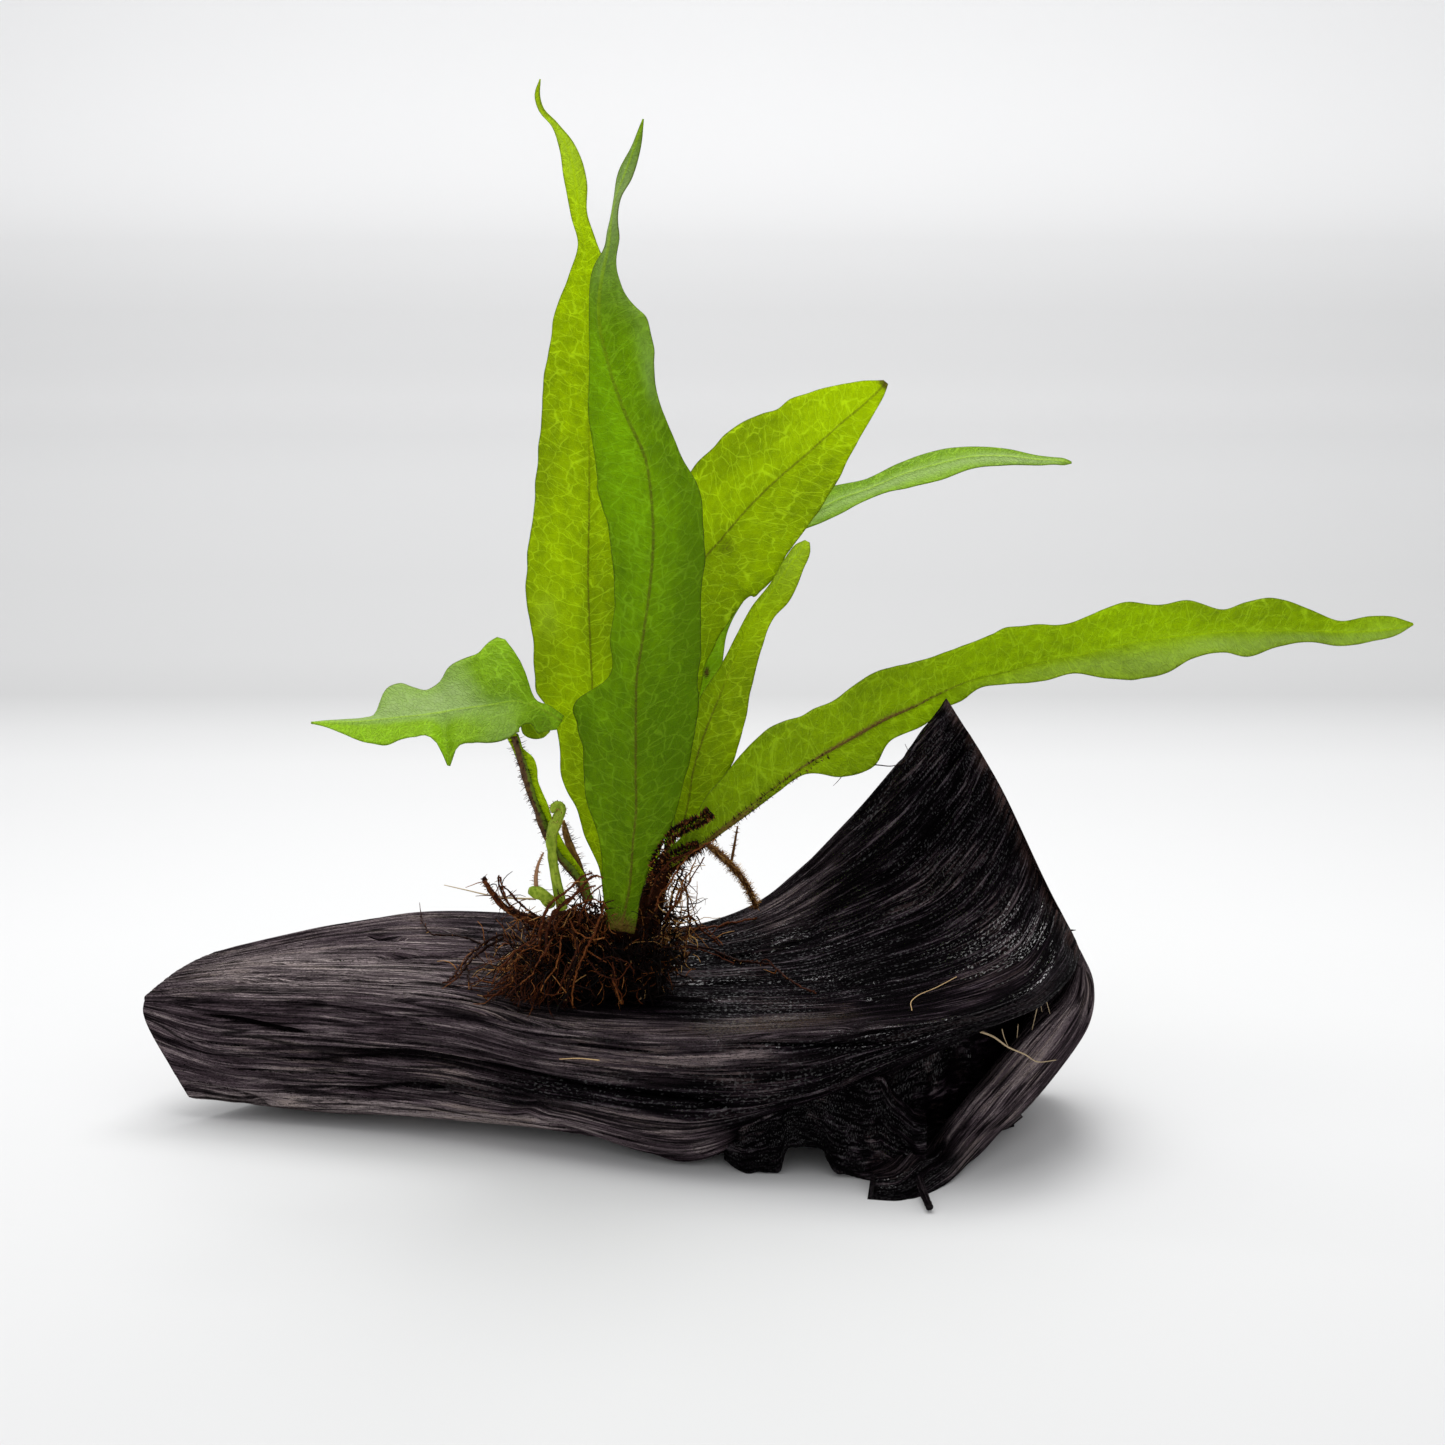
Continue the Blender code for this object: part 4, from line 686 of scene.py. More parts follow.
def tube_faces(rows, sides, start):
    """Faces of a tube from its rings of points, with both ends closed."""
    end = start + rows * sides
    caps = [list(range(start + sides - 1, start - 1, -1)), list(range(end - sides, end))]
    return grid_faces(rows, sides, True, start) + caps


class Gathered:
    """Several grids gathered into one piece, with three numbers kept at each point."""

    def __init__(self):
        self.count = 0
        self.points, self.faces, self.kept = [], [], {}

    def gather(self, grid, faces, **kept):
        """Add a grid, its faces, and the values kept at its points."""
        self.points.append(grid.reshape(-1, 3))
        self.faces += faces
        self.count += len(self.points[-1])
        for key, values in kept.items():
            self.kept.setdefault(key, []).append((np.zeros(grid.shape) + values).reshape(-1, 3))

    def make(self, name, finish, slot, replaces=()):
        """The mesh of all the grids."""
        return piece(name, np.concatenate(self.points), self.faces, finish, replaces,
                     {key: np.concatenate(values) for key, values in self.kept.items()})


class Strands(Gathered):
    """Many thin round strands in one mesh: roots, hairs, straws."""

    def __init__(self, sides):
        super().__init__()
        self.turn = np.arange(sides) * 2 * math.pi / sides

    def add(self, path, radii, mark):
        """A strand along a path. Its mark, from 0 to 1, picks its colour."""
        path = np.asarray(path, float)
        grid = path[:, None] + ring_around(path, self.turn) * np.asarray(radii, float).reshape(-1, 1, 1)
        share, turn = np.meshgrid(np.linspace(0, 1, len(path)), self.turn, indexing="ij")
        strand = np.stack([np.full(share.shape, mark), share, turn], axis=-1)
        self.gather(grid, tube_faces(len(path), len(self.turn), self.count), strand=strand)


class Shell(Gathered):
    """Closed grids of wood, each with its grain and how wet, grimy and brown it is; the wetness also carries
    painted light and shade.
    """

    def take(self, grid, along, around, height, state, first_side=None):
        """Add a grid that is closed across and capped at both ends."""
        rows, columns = grid.shape[:2]
        first = list(range(self.count, self.count + columns))
        last = [k + (rows - 1) * columns for k in first]
        side = first_side or columns // 2
        faces = turned_over(grid_faces(rows, columns, True, self.count))
        faces += ladder(first, side) + turned_over(ladder(last, side))
        u, v = np.meshgrid(along, around, indexing="ij")
        self.gather(grid, faces, grain=np.stack([u, v, height], axis=-1), state=state)


# ---------------------------------------------------------------- materials

class Socket:
    """An output of a finish's nodes. Arithmetic on it adds Math nodes."""

    def __init__(self, finish, link):
        self.finish = finish
        self.link = link

    def __add__(self, other):
        return self.finish.math("ADD", self, other)

    def __sub__(self, other):
        return self.finish.math("SUBTRACT", self, other)

    def __rsub__(self, other):
        return self.finish.math("SUBTRACT", other, self)

    def __mul__(self, other):
        return self.finish.math("MULTIPLY", self, other)

    def __truediv__(self, other):
        return self.finish.math("DIVIDE", self, other)

    def __abs__(self):
        return self.finish.math("ABSOLUTE", self)

    __radd__ = __add__
    __rmul__ = __mul__


class Finish:
    """One material and the nodes it is made of."""

    def __init__(self, name):
        self.material = bpy.data.materials.new(name)
        self.material.use_nodes = True
        self.nodes = self.material.node_tree.nodes
        self.links = self.material.node_tree.links
        self.nodes.clear()

    def node(self, kind, settings=None, sockets=None, out=0):
        """A node with its settings, then its sockets' values or links."""
        made = self.nodes.new(kind)
        for key, value in (settings or {}).items():
            setattr(made, key, value)
        for key, value in (sockets or {}).items():
            if isinstance(value, Socket):
                self.links.new(value.link, made.inputs[key])
            else:
                made.inputs[key].default_value = value
        return Socket(self, made.outputs[out])

    def math(self, operation, a, b=None, clamp=False):
        """One Math node."""
        sockets = {0: a} if b is None else {0: a, 1: b}
        return self.node("ShaderNodeMath", {"operation": operation, "use_clamp": clamp}, sockets)

    def larger(self, a, b):
        """The larger of two values."""
        return self.math("MAXIMUM", a, b)

    def held(self, a, b):
        """The product of two values, held between 0 and 1."""
        return self.math("MULTIPLY", a, b, clamp=True)

    def parts(self, vector):
        """The three numbers of a vector."""
        first = self.node("ShaderNodeSeparateXYZ", sockets={0: vector})
        return [Socket(self, first.link.node.outputs[k]) for k in range(3)]

    def kept(self, name):
        """The three numbers kept in the mesh's points under a name."""
        return self.parts(self.node("ShaderNodeAttribute", {"attribute_name": name}, out="Vector"))

    def where(self, kind="Object"):
        """The place on the object, or another of its coordinates."""
        return self.node("ShaderNodeTexCoord", out=kind)

    def place(self, x, y, z=0.0):
        """A vector from three numbers."""
        return self.node("ShaderNodeCombineXYZ", sockets={0: x, 1: y, 2: z})

    def noise(self, place, scale, detail, rough=0.55):
        """Soft noise from 0 to 1."""
        return self.node("ShaderNodeTexNoise", sockets={
            "Vector": place, "Scale": scale, "Detail": detail, "Roughness": rough})

    def field(self, u, v, per_u, per_v, z, detail, rough=0.55):
        """Soft noise over a surface: how often it changes along u and v, and its own depth z."""
        return self.noise(self.place(u * per_u, v * per_v, z), 1.0, detail, rough)

    def cells(self, place, scale, randomness):
        """Distance to the nearest edge of a net of cells."""
        return self.node("ShaderNodeTexVoronoi", {"feature": "DISTANCE_TO_EDGE"}, {
            "Vector": place, "Scale": scale, "Randomness": randomness})

    def span(self, value, low, high, start=0.0, end=1.0):
        """A value moved smoothly from one span to another, and held there."""
        return self.node("ShaderNodeMapRange", {"interpolation_type": "SMOOTHSTEP", "clamp": True}, {
            "Value": value, "From Min": low, "From Max": high, "To Min": start, "To Max": end})

    def ramp(self, value, stops):
        """A colour read from a ramp, whose stops are a position and a colour each."""
        read = self.node("ShaderNodeValToRGB", sockets={0: value})
        elements = read.link.node.color_ramp.elements
        while len(elements) < len(stops):
            elements.new(0.5)
        for element, (position, colour) in zip(elements, stops):
            element.position = position
            element.color = tuple(colour) + (1.0,)
        return read

    def mix(self, share, a, b):
        """One colour moved towards another."""
        a, b = [c if isinstance(c, Socket) else tuple(c) + (1.0,) for c in (a, b)]
        return self.node("ShaderNodeMix", {"data_type": "RGBA"}, {0: share, 6: a, 7: b}, out=2)

    def bump(self, height, distance, normal=None):
        """A normal tilted by a height times a distance in millimetres."""
        sockets = {"Height": height, "Distance": distance * MM}
        if normal is not None:
            sockets["Normal"] = normal
        return self.node("ShaderNodeBump", sockets=sockets)

    def surface(self, **sockets):
        """The Principled shader. Underscores in names stand for spaces."""
        return self.node("ShaderNodeBsdfPrincipled", sockets={
            key.replace("_", " "): value for key, value in sockets.items()})

    def done(self, shader):
        """Send a shader to the surface, and give the material."""
        output = self.nodes.new("ShaderNodeOutputMaterial")
        self.links.new(shader.link, output.inputs["Surface"])
        return self.material


def tinted(colour, scale, lift=0.0):
    """A colour scaled and lifted, and held at 1."""
    return tuple(min(1.0, scale * c + lift) for c in colour)


DRY_WOOD = [(0.0, (0.040, 0.027, 0.033)), (0.3, (0.095, 0.068, 0.080)),
            (0.65, (0.18, 0.138, 0.152)), (1.0, (0.42, 0.345, 0.345))]
WET_WOOD = [(0.0, (0.0004, 0.0001, 0.0004)), (0.5, (0.0035, 0.0017, 0.0032)),
            (0.8, (0.020, 0.0125, 0.018)), (1.0, (0.095, 0.074, 0.086))]
# Pale colour of painted light on the dry wood.
PAINTED_LIGHT_WOOD = (0.50, 0.42, 0.41)
TAN_WOOD = (0.15, 0.095, 0.055)
# Colour of cracks and sunken grain: partly their own darkness, partly painted shade in hollows.
CRACK_AND_SHADE_COLOUR = (0.0012, 0.0006, 0.0012)
GRIME = (0.085, 0.055, 0.028)
TORN_WOOD = (0.10, 0.058, 0.05)


def wood_finish(name):
    """Waterlogged wood: dry and grained to the left, black and wet in the bowl."""
    f = Finish(name)
    along, around, height = f.kept("grain")
    wet, grime, brown = f.kept("state")
    across = around + f.field(along, around, 0.015, 0.05, 0.0, 2.0) * 5.0
    lines = f.field(along, across, 0.018, 0.5, 0.0, 4.0, 0.65)
    hair = f.span(f.field(along, across, 0.06, 1.7, 5.0, 3.0, 0.6), 0.34, 0.66)
    patch = f.field(along, around, 0.03, 0.1, 9.0, 3.0)
    grit = f.field(along, around, 1.3, 2.0, 3.0, 2.0)
    speck = f.field(along, around, 1.1, 1.9, 7.0, 1.0)
    check = abs(f.field(along, across, 0.011, 0.22, 2.0, 2.0, 0.5) - 0.5)
    check = (1 - f.span(check, 0.006, 0.032)) * f.span(patch, 0.40, 0.50)
    split = abs(f.field(along, across, 0.022, 0.6, 4.0, 2.0, 0.5) - 0.5)
    split = (1 - f.span(split, 0.008, 0.06)) * f.span(lines, 0.62, 0.42)
    # Where the state is below zero the wood is painted paler: painted light on its top, its bottom edge and a
    # few lit spots.
    painted_light = f.span(wet, 0.0, -0.5)
    wet = f.larger(wet, 0.0)
    # Low heights go black: the drawn cracks, the sunken grain and the lowered arch and cave, painted shade in
    # hollows.
    sunk_shade = f.span(height, -0.55, -1.5)
    dark = f.larger(sunk_shade, f.larger(check * 0.95, split * 0.85))
    ridge = f.span(lines, 0.36, 0.66)

    # The height lifts the tone a little: painted shade in the low grain.
    tone = f.span(ridge * 0.22 + hair * 0.42 + f.span(patch, 0.3, 0.7) * 0.30 + height * 0.05, 0.10, 0.86)
    dry_colour = f.mix(painted_light * tone * 0.8, f.ramp(tone, DRY_WOOD), PAINTED_LIGHT_WOOD)
    colour = f.mix(wet, dry_colour, f.ramp(tone, WET_WOOD))
    tan = f.span(patch, 0.52, 0.62) * f.span(hair, 0.3, 0.8) * 0.35
    colour = f.mix(tan * (1 - wet * 0.7), colour, TAN_WOOD)
    colour = f.mix(dark * 0.94, colour, CRACK_AND_SHADE_COLOUR)
    grimy = f.span(grime * (0.3 + patch), 0.3, 0.8) * f.span(grit, 0.4, 0.62)
    colour = f.mix(grimy * 0.7, colour, GRIME)
    colour = f.mix(brown * f.span(lines, 0.4, 0.62) * 0.9, colour, TORN_WOOD)

    rough = 0.78 - wet * 0.15 + (grit - 0.5) * 0.2 + grime * 0.1
    normal = None
    for high, distance in ((ridge, 0.7), (hair, 0.6), (dark, -1.0), (f.span(speck, 0.4, 0.7), 0.3)):
        normal = f.bump(high, distance, normal)
    shine = f.span(speck, 0.55, 0.61) * f.span(patch * 0.6 + hair * 0.4, 0.36, 0.6)
    streaks = f.span(hair, 0.55, 0.95) * f.span(lines, 0.42, 0.62) * (1 - dark)
    coat = f.held(wet * wet, shine * 0.65 + streaks * 0.14 + grimy * 0.5)
    return f.done(f.surface(Base_Color=colour, Roughness=rough, Normal=normal, Specular_IOR_Level=0.02,
                            Coat_Weight=coat, Coat_Roughness=0.16, Coat_IOR=1.6))


# Blades: shaded colour, lit colour, colour of the light that comes through,
# gloss, size of the vein net's cells, how clear the veins are, and a seed.
LEAF_TONES = {
    "green": ((0.08, 0.155, 0.0), (0.23, 0.355, 0.0), (0.64, 0.94, 0.0), 0.08, 3.4, 0.5, 1.0),
    "long": ((0.12, 0.19, 0.0), (0.27, 0.37, 0.0), (0.74, 0.96, 0.0), 0.08, 3.4, 0.5, 11.0),
    "yellow_green": ((0.14, 0.23, 0.0), (0.31, 0.41, 0.0), (0.82, 1.0, 0.0), 0.08, 3.2, 0.85, 21.0),
    "pale": ((0.12, 0.23, 0.0), (0.28, 0.42, 0.02), (0.66, 0.95, 0.0), 0.14, 3.0, 0.5, 41.0),
}
# Pale colour of the painted sheen: light reflected off a blade.
PAINTED_SHEEN = (0.33, 0.44, 0.17)
LEAF_EDGE = (0.045, 0.05, 0.004)
LEAF_SPOT = (0.05, 0.025, 0.008)
BROWN_RIB = (0.11, 0.075, 0.008)
BURNT_LEAF = (0.14, 0.078, 0.016)
DRY_LEAF = (0.11, 0.07, 0.012)
FINE_NET = 3.1          # how much finer the smallest net of veins is


def leaf_veins(f, along, across, share, net_size, seed):
    """The side veins, the net between them and the finest net, each from 0 to 1."""
    reach = abs(across)
    waver = f.field(along, across, 0.11, 0.11, seed, 2.0)
    side = f.span(across, -0.05, 0.05)
    phase = (along - reach * VEIN_SLANT - reach * reach * VEIN_BEND + waver * 4.5) / VEIN_STEP
    branch = abs(f.math("FRACT", phase + side * 0.45) - 0.5) * VEIN_STEP
    broken = f.field(along, across, 0.25, 0.25, seed + 2.0, 2.0)
    fade = f.span(abs(share), 0.97, 0.6)
    side_veins = (1 - f.span(branch, 0.06, 0.22)) * fade * f.span(broken, 0.30, 0.42)
    sway = f.field(along, across, 0.35, 0.35, seed + 4.0, 2.0) * 1.6
    place = f.place(along - reach * VEIN_SLANT + sway, across * 0.8 + sway, seed)
    net = 1 - f.span(f.cells(place, 1 / net_size, 0.95) * net_size, 0.04, 0.20)
    net = net * f.span(broken, 0.78, 0.55)
    fine = 1 - f.span(f.cells(place, FINE_NET / net_size, 1.0) * net_size / FINE_NET, 0.02, 0.13)
    return side_veins, net, fine


def leaf_finish(name, deep, light, glow, gloss, net_size, veined, seed):
    """A thin green blade that light comes through, with a net of veins."""
    f = Finish(name)
    along, across, share = f.kept("leaf")
    edge, ribs, age = f.kept("blade")
    painted_shade_and_dark, pale, burnt = f.kept("cast")
    side_veins, net, fine = leaf_veins(f, along, across, share, net_size, seed)
    veins = f.larger(side_veins, f.larger(net * 0.85, fine * 0.3))
    veins = f.held(veins, (1.2 - pale - painted_shade_and_dark * 0.7) * veined)
    rib = 1 - f.span(abs(across), 0.12, 0.42)
    cloud = f.field(along, across, 0.03, 0.07, seed + 3.0, 3.0)
    mottle = f.field(along, across, 0.3, 0.45, seed + 6.0, 4.0)
    speck = f.field(along, across, 0.45, 0.45, seed + 9.0, 1.0)
    grain = f.field(along, across, 1.2, 2.5, seed + 11.0, 3.0)

    # The kept shade darkens the tone: painted shade, lighter where it is below zero, and darker tissue at
    # some bases. The kept pale share mixes in a painted sheen.
    tone = f.span(cloud * 0.7 + mottle * 0.5 + age * 0.4 - painted_shade_and_dark * 0.42, 0.34, 0.92)
    sheen_mask = f.span(pale + (mottle - 0.5) * 0.35, 0.05, 0.95)
    rim = 1 - f.span(edge, 0.06, 0.4)
    spots = f.span(speck, 0.80, 0.83)
    crust = f.span(burnt * (0.35 + grain * 1.3), 0.35, 0.75)
    brown = rib * ribs * f.span(grain, 0.25, 0.6, 0.3, 0.85)
    dry = f.span(age, 1.2, 2.0)
    colour = f.mix(tone, deep, light)
    for amount, other in ((veins * 0.55, tinted(light, 2.1, 0.05)), (sheen_mask * 0.8, PAINTED_SHEEN),
                          (rim * 0.55, LEAF_EDGE), (spots * 0.8, LEAF_SPOT), (brown, BROWN_RIB),
                          (rib * (1 - ribs) * 0.5, tinted(light, 1.5)), (crust * 0.9, BURNT_LEAF),
                          (dry, DRY_LEAF)):
        colour = f.mix(amount, colour, other)

    through = (0.46 + veins * 0.15 + (tone - 0.5) * 0.26 - brown * 0.28 - rim * 0.2
               - spots * 0.4 - crust * 0.35 - sheen_mask * 0.14)
    through = f.held(through, 1 - dry * 0.6)
    normal = f.bump(fine, -0.10, f.bump(mottle, 0.35, f.bump(veins, -0.16)))
    front = f.surface(Base_Color=colour, Roughness=0.40 + mottle * 0.25, Normal=normal,
                      Specular_IOR_Level=gloss)
    back = f.node("ShaderNodeBsdfTranslucent", sockets={"Color": tuple(glow) + (1.0,), "Normal": normal})
    return f.done(f.node("ShaderNodeMixShader", sockets={0: through, 1: front, 2: back}))


# Stalks: dark colour, light colour, colour of the freckles and of side shoots, gloss.
STEM_TONES = {
    "stem_green": ((0.15, 0.24, 0.010), (0.40, 0.52, 0.05), (0.12, 0.12, 0.012), (0.36, 0.19, 0.10), 0.1),
    "stem_brown": ((0.035, 0.011, 0.003), (0.22, 0.09, 0.02), (0.012, 0.004, 0.002),
                   (0.14, 0.06, 0.018), 0.1),
    "stem_dry": ((0.13, 0.05, 0.010), (0.38, 0.20, 0.055), (0.05, 0.015, 0.006), (0, 0, 0), 0.1),
    "rhizome_scaly": ((0.0015, 0.0005, 0.0003), (0.045, 0.012, 0.004), (0.001, 0.0005, 0.0003),
                      (0, 0, 0), 0.02),
}
WINGED_BROWN = (0.15, 0.07, 0.02)
WINGED_GREEN = (0.17, 0.26, 0.012)


def stem_finish(name, dark, light, freckle, shoot, gloss):
    """A stalk: fine lengthwise ribs and darker freckles."""
    f = Finish(name)
    mark, share, turn = f.kept("strand")
    streak = f.noise(f.place(turn * 1.6, share * 9.0, mark * 7.0), 1.0, 3.0)
    blotch = f.noise(f.where(), 700.0, 3.0)
    colour = f.mix(f.span(streak * 0.6 + blotch * 0.5, 0.35, 0.75), dark, light)
    colour = f.mix(f.span(blotch, 0.62, 0.7) * 0.7, colour, freckle)
    colour = f.mix(f.span(mark, 0.6, 0.7), colour, shoot)
    normal = f.bump(streak * 0.6 + blotch * 0.4, 0.25)
    return f.done(f.surface(Base_Color=colour, Roughness=0.42 + blotch * 0.2, Normal=normal,
                            Specular_IOR_Level=gloss))


def winged_finish(name, brown, green):
    """The left frond's stem: brown and ribbed on its left, green on its right."""
    f = Finish(name)
    _, share, turn = f.kept("strand")
    aside = f.parts(f.where("Normal"))[0]
    blotch = f.noise(f.where(), 900.0, 3.0)
    streak = f.noise(f.place(turn * 1.6, share * 9.0, 2.0), 1.0, 3.0)
    bark = f.mix(f.span(blotch * 0.6 + streak * 0.5, 0.35, 0.75), tinted(brown, 0.25), brown)
    fresh = f.mix(streak, tinted(green, 0.55), green)
    colour = f.mix(f.span(aside + (blotch - 0.5) * 1.2 + (0.5 - share) * 0.9, -0.1, 0.4), bark, fresh)
    return f.done(f.surface(Base_Color=colour, Roughness=0.5 + blotch * 0.2, Normal=f.bump(blotch, 0.3),
                            Specular_IOR_Level=0.25))


# Tones of roots and hairs, from the darkest strand to the palest.
BROWN_TONES = [(0.0, (0.0008, 0.0002, 0.0001)), (0.4, (0.005, 0.001, 0.0005)), (0.7, (0.035, 0.007, 0.002)),
               (0.88, (0.14, 0.038, 0.010)), (1.0, (0.34, 0.14, 0.05))]
PALE_TONES = [(0.0, (0.0008, 0.0002, 0.0001)), (0.35, (0.015, 0.003, 0.001)), (0.62, (0.085, 0.020, 0.005)),
              (0.82, (0.25, 0.085, 0.020)), (1.0, (0.58, 0.34, 0.12))]
GOLD_TONES = [(0.0, (0.08, 0.025, 0.006)), (0.5, (0.28, 0.115, 0.026)), (1.0, (0.62, 0.37, 0.12))]
STRAW_TONES = [(0.0, (0.2, 0.1, 0.04)), (0.6, (0.4, 0.24, 0.11)), (1.0, (0.6, 0.42, 0.22))]
CORE_SHADE_TONES = [(0.0, (0.002, 0.001, 0.0008)), (0.5, (0.006, 0.003, 0.002)), (1.0, (0.02, 0.008, 0.005))]
FIBRE_TONES = [(0.0, (0.008, 0.003, 0.002)), (0.5, (0.15, 0.09, 0.045)), (1.0, (0.58, 0.45, 0.28))]


def root_finish(name, stops, rough=0.6, gloss=0.08):
    """Wiry roots, each in a tone of its own, paler towards the tip."""
    f = Finish(name)
    mark, share, _ = f.kept("strand")
    bark = f.noise(f.where(), 1500.0, 2.0)
    colour = f.ramp(f.span(mark * 0.8 + share * 0.12 + bark * 0.4 - 0.18, 0.0, 1.0), stops)
    return f.done(f.surface(Base_Color=colour, Roughness=rough - bark * 0.2, Normal=f.bump(bark, 0.12),
                            Specular_IOR_Level=gloss))


FLOOR_HALF = 1800.0     # half the floor's width, and how far it comes forward
FLOOR_FROM = -300.0     # where its change of tone begins
WALL_Y = 1500.0         # the wall far behind
WALL_BEND = 300.0       # radius of the curve at its foot
WALL_TOP = 1200.0
# How pale the floor is, by the share of the way from FLOOR_FROM to the wall:
# painted light and shade, a little darker at the front and in a grey band behind
# the wood.
FLOOR_SHADE_TONES = [(0.02, 0.62), (0.10, 0.645), (0.15, 0.65), (0.29, 0.61), (0.33, 0.56), (0.375, 0.475),
               (0.43, 0.51), (0.50, 0.525), (0.58, 0.54), (0.72, 0.595), (0.81, 0.64), (0.91, 0.675),
               (0.96, 0.70), (0.975, 0.68), (0.99, 0.695), (0.998, 0.80), (1.0, 0.93)]


def floor_finish(name):
    """The pale floor, greyer from a little behind the wood on: painted light and shade."""
    f = Finish(name)
    where = f.where()
    depth = f.parts(where)[1]
    depth = f.span(depth, FLOOR_FROM * MM, WALL_Y * MM)
    tone = f.ramp(depth, [(at, (c, c, c)) for at, c in FLOOR_SHADE_TONES])
    colour = f.mix(f.noise(where, 3.0, 2.0) * 0.1, tone, (0.6, 0.6, 0.6))
    return f.done(f.surface(Base_Color=colour, Roughness=0.6, Specular_IOR_Level=0.2))


# ---------------------------------------------------------------- the driftwood

# Widths round the wood of its swells, grooves, fine lines, splits and checks.
GRAIN_WIDTHS = (14.0, 5.0, 2.1, 8.0, 4.2)
# How the grain sways from side to side: cells round the wood, length of a sway,
# and its reach as a share of the way round.
GRAIN_SWAYS = {8: (9, 55, 0.018), 7: (31, 16, 0.004)}


def wood_relief(along, around, length_around, wet, seed):
    """Height of the weathered grain, in millimetres, on a grid."""
    u, v = np.meshgrid(along, around, indexing="ij")
    cells = [max(4, int(round(length_around / width))) for width in GRAIN_WIDTHS]
    swell, groove, line, split, check = [Relief(seed + k, 64, c) for k, c in enumerate(cells)]
    turn = v / length_around
    for number, (columns, length, reach) in GRAIN_SWAYS.items():
        turn = turn + (Relief(seed + number, 64, columns)(u / length, turn * columns) - 0.5) * reach
    high = 1.2 * (swell(u / 48, turn * cells[0]) - 0.5)
    high += 0.5 * (0.45 - np.abs(2 * groove(u / 34, turn * cells[1]) - 1) ** 1.3)
    high += 0.45 * (0.45 - np.abs(2 * line(u / 19, turn * cells[2]) - 1) ** 1.2)
    crack = np.exp(-((split(u / 60, turn * cells[3]) - 0.52) / 0.035) ** 2)
    high -= 2.0 * crack * ease(0.42, 0.65, Relief(seed + 9, 64, 13)(u / 40, turn * 13))
    crack = np.exp(-((check(u / 38, turn * cells[4]) - 0.5) / 0.05) ** 2)
    high -= 1.2 * crack * ease(0.5, 0.75, Relief(seed + 10, 64, 17)(u / 25, turn * 17))
    return high * (1 - 0.3 * np.maximum(wet, 0))


def girth(grid):
    """How far round a closed grid each of its columns is, and the whole way round."""
    widths = np.sqrt(((np.roll(grid, -1, axis=1) - grid) ** 2).sum(axis=2)).mean(axis=0)
    far = np.concatenate([[0.0], np.cumsum(widths)])
    return far[:-1], far[-1]


def raised(grid, height):
    """A closed grid moved outwards by a height, and kept above the floor."""
    grid = grid + grid_normals(grid) * height[..., None]
    grid[..., 2] = np.maximum(grid[..., 2], 0.0)
    return grid


def wood_state(grid):
    """How wet, grimy and brown the wood is at each point. The wetness also carries painted shade on the steep
    sides, and below zero it is painted light.
    """
    x, y, z = grid[..., 0], grid[..., 1], grid[..., 2]
    upward = grid_normals(grid)[..., 2]
    wet = ease(-75, 5, x + 0.9 * y) * 0.75 + 0.25 * ease(-90, -30, x)       # towards the bowl
    wet = wet + 0.35 * ease(28, 18, z) * ease(-70, -25, x)                  # low on the front
    wet = wet - 0.85 * ease(13, 7, z) * ease(8, -4, x)                      # paler along the bottom edge: painted light reflected from the floor
    wet = wet + 0.22 * ease(0.6, 0.1, upward) * ease(-150, -120, x)         # painted shade where the sides are steep
    px, py, facing = photo_pixels(grid)
    for at_x, at_y, far_x, far_y, turn, amount in DAMP_AND_LIT_SPOTS:
        c, d = math.cos(math.radians(turn)), math.sin(math.radians(turn))
        a, b = (px - at_x) * c + (py - at_y) * d, (py - at_y) * c - (px - at_x) * d
        wet = wet + amount * np.exp(-(a / far_x) ** 4 - (b / far_y) ** 4) * facing
    grime = np.exp(-((x - 12) / 30) ** 2 - ((y + 26) / 9) ** 2) * ease(30, 36, z)
    from_tip = np.arange(len(grid))[::-1, None]     # the torn end of the fin is brown
    brown = np.exp(-(from_tip / 7.0) ** 2) * np.ones_like(x)
    return np.stack([np.clip(wet, -0.5, 1), grime, brown], axis=-1)


def cracks_seen(grid):
    """Depth of the drawn cracks at every point that faces the camera."""
    px, py, facing = photo_pixels(grid)
    depth = np.zeros(px.shape)
    for width, deep, points in CRACKS:
        near = np.full(px.shape, np.inf)
        share = np.zeros(px.shape)
        points = smooth_rows([p + (0,) for p in points], 6)[:, :2]
        for k, (a, b) in enumerate(zip(points[:-1], points[1:])):
            run = b - a
            t = np.clip(((px - a[0]) * run[0] + (py - a[1]) * run[1]) / (run @ run), 0, 1)
            gap = np.hypot(px - a[0] - t * run[0], py - a[1] - t * run[1])
            share = np.where(gap < near, (k + t) / (len(points) - 1), share)
            near = np.minimum(near, gap)
        taper = np.clip(1.2 * np.sin(math.pi * np.clip(share, 0.02, 0.98)) ** 0.7, 0, 1)
        depth = np.maximum(depth, deep * np.exp(-(near / (width * np.maximum(taper, 0.2))) ** 2) * taper)
    return depth * facing


def build_driftwood(finish):
    """The log and the fin as one piece of wood."""
    stations, along = even_rows(WOOD, WOOD_STEP)
    grid = soften(round_sections(stations, WOOD_COUNTS, WOOD_CORNERS), 3)
    around, whole = girth(grid)
    state = wood_state(grid)
    height = wood_relief(along, around, whole, state[..., 0], WOOD_SEED)
    deep = cracks_seen(grid)
    height = height * (1 - np.clip(deep, 0, 1)) - deep
    calm = np.minimum(ease(0, 6, along), ease(along[-1], along[-1] - 5, along))
    height *= 0.25 + 0.75 * calm[:, None]
    shell = Shell()
    shell.take(raised(grid, height), along, around, height, state, sum(WOOD_COUNTS[:3]))
    return shell.make("driftwood", finish, "driftwood", ("driftwood_log", "driftwood_peak"))


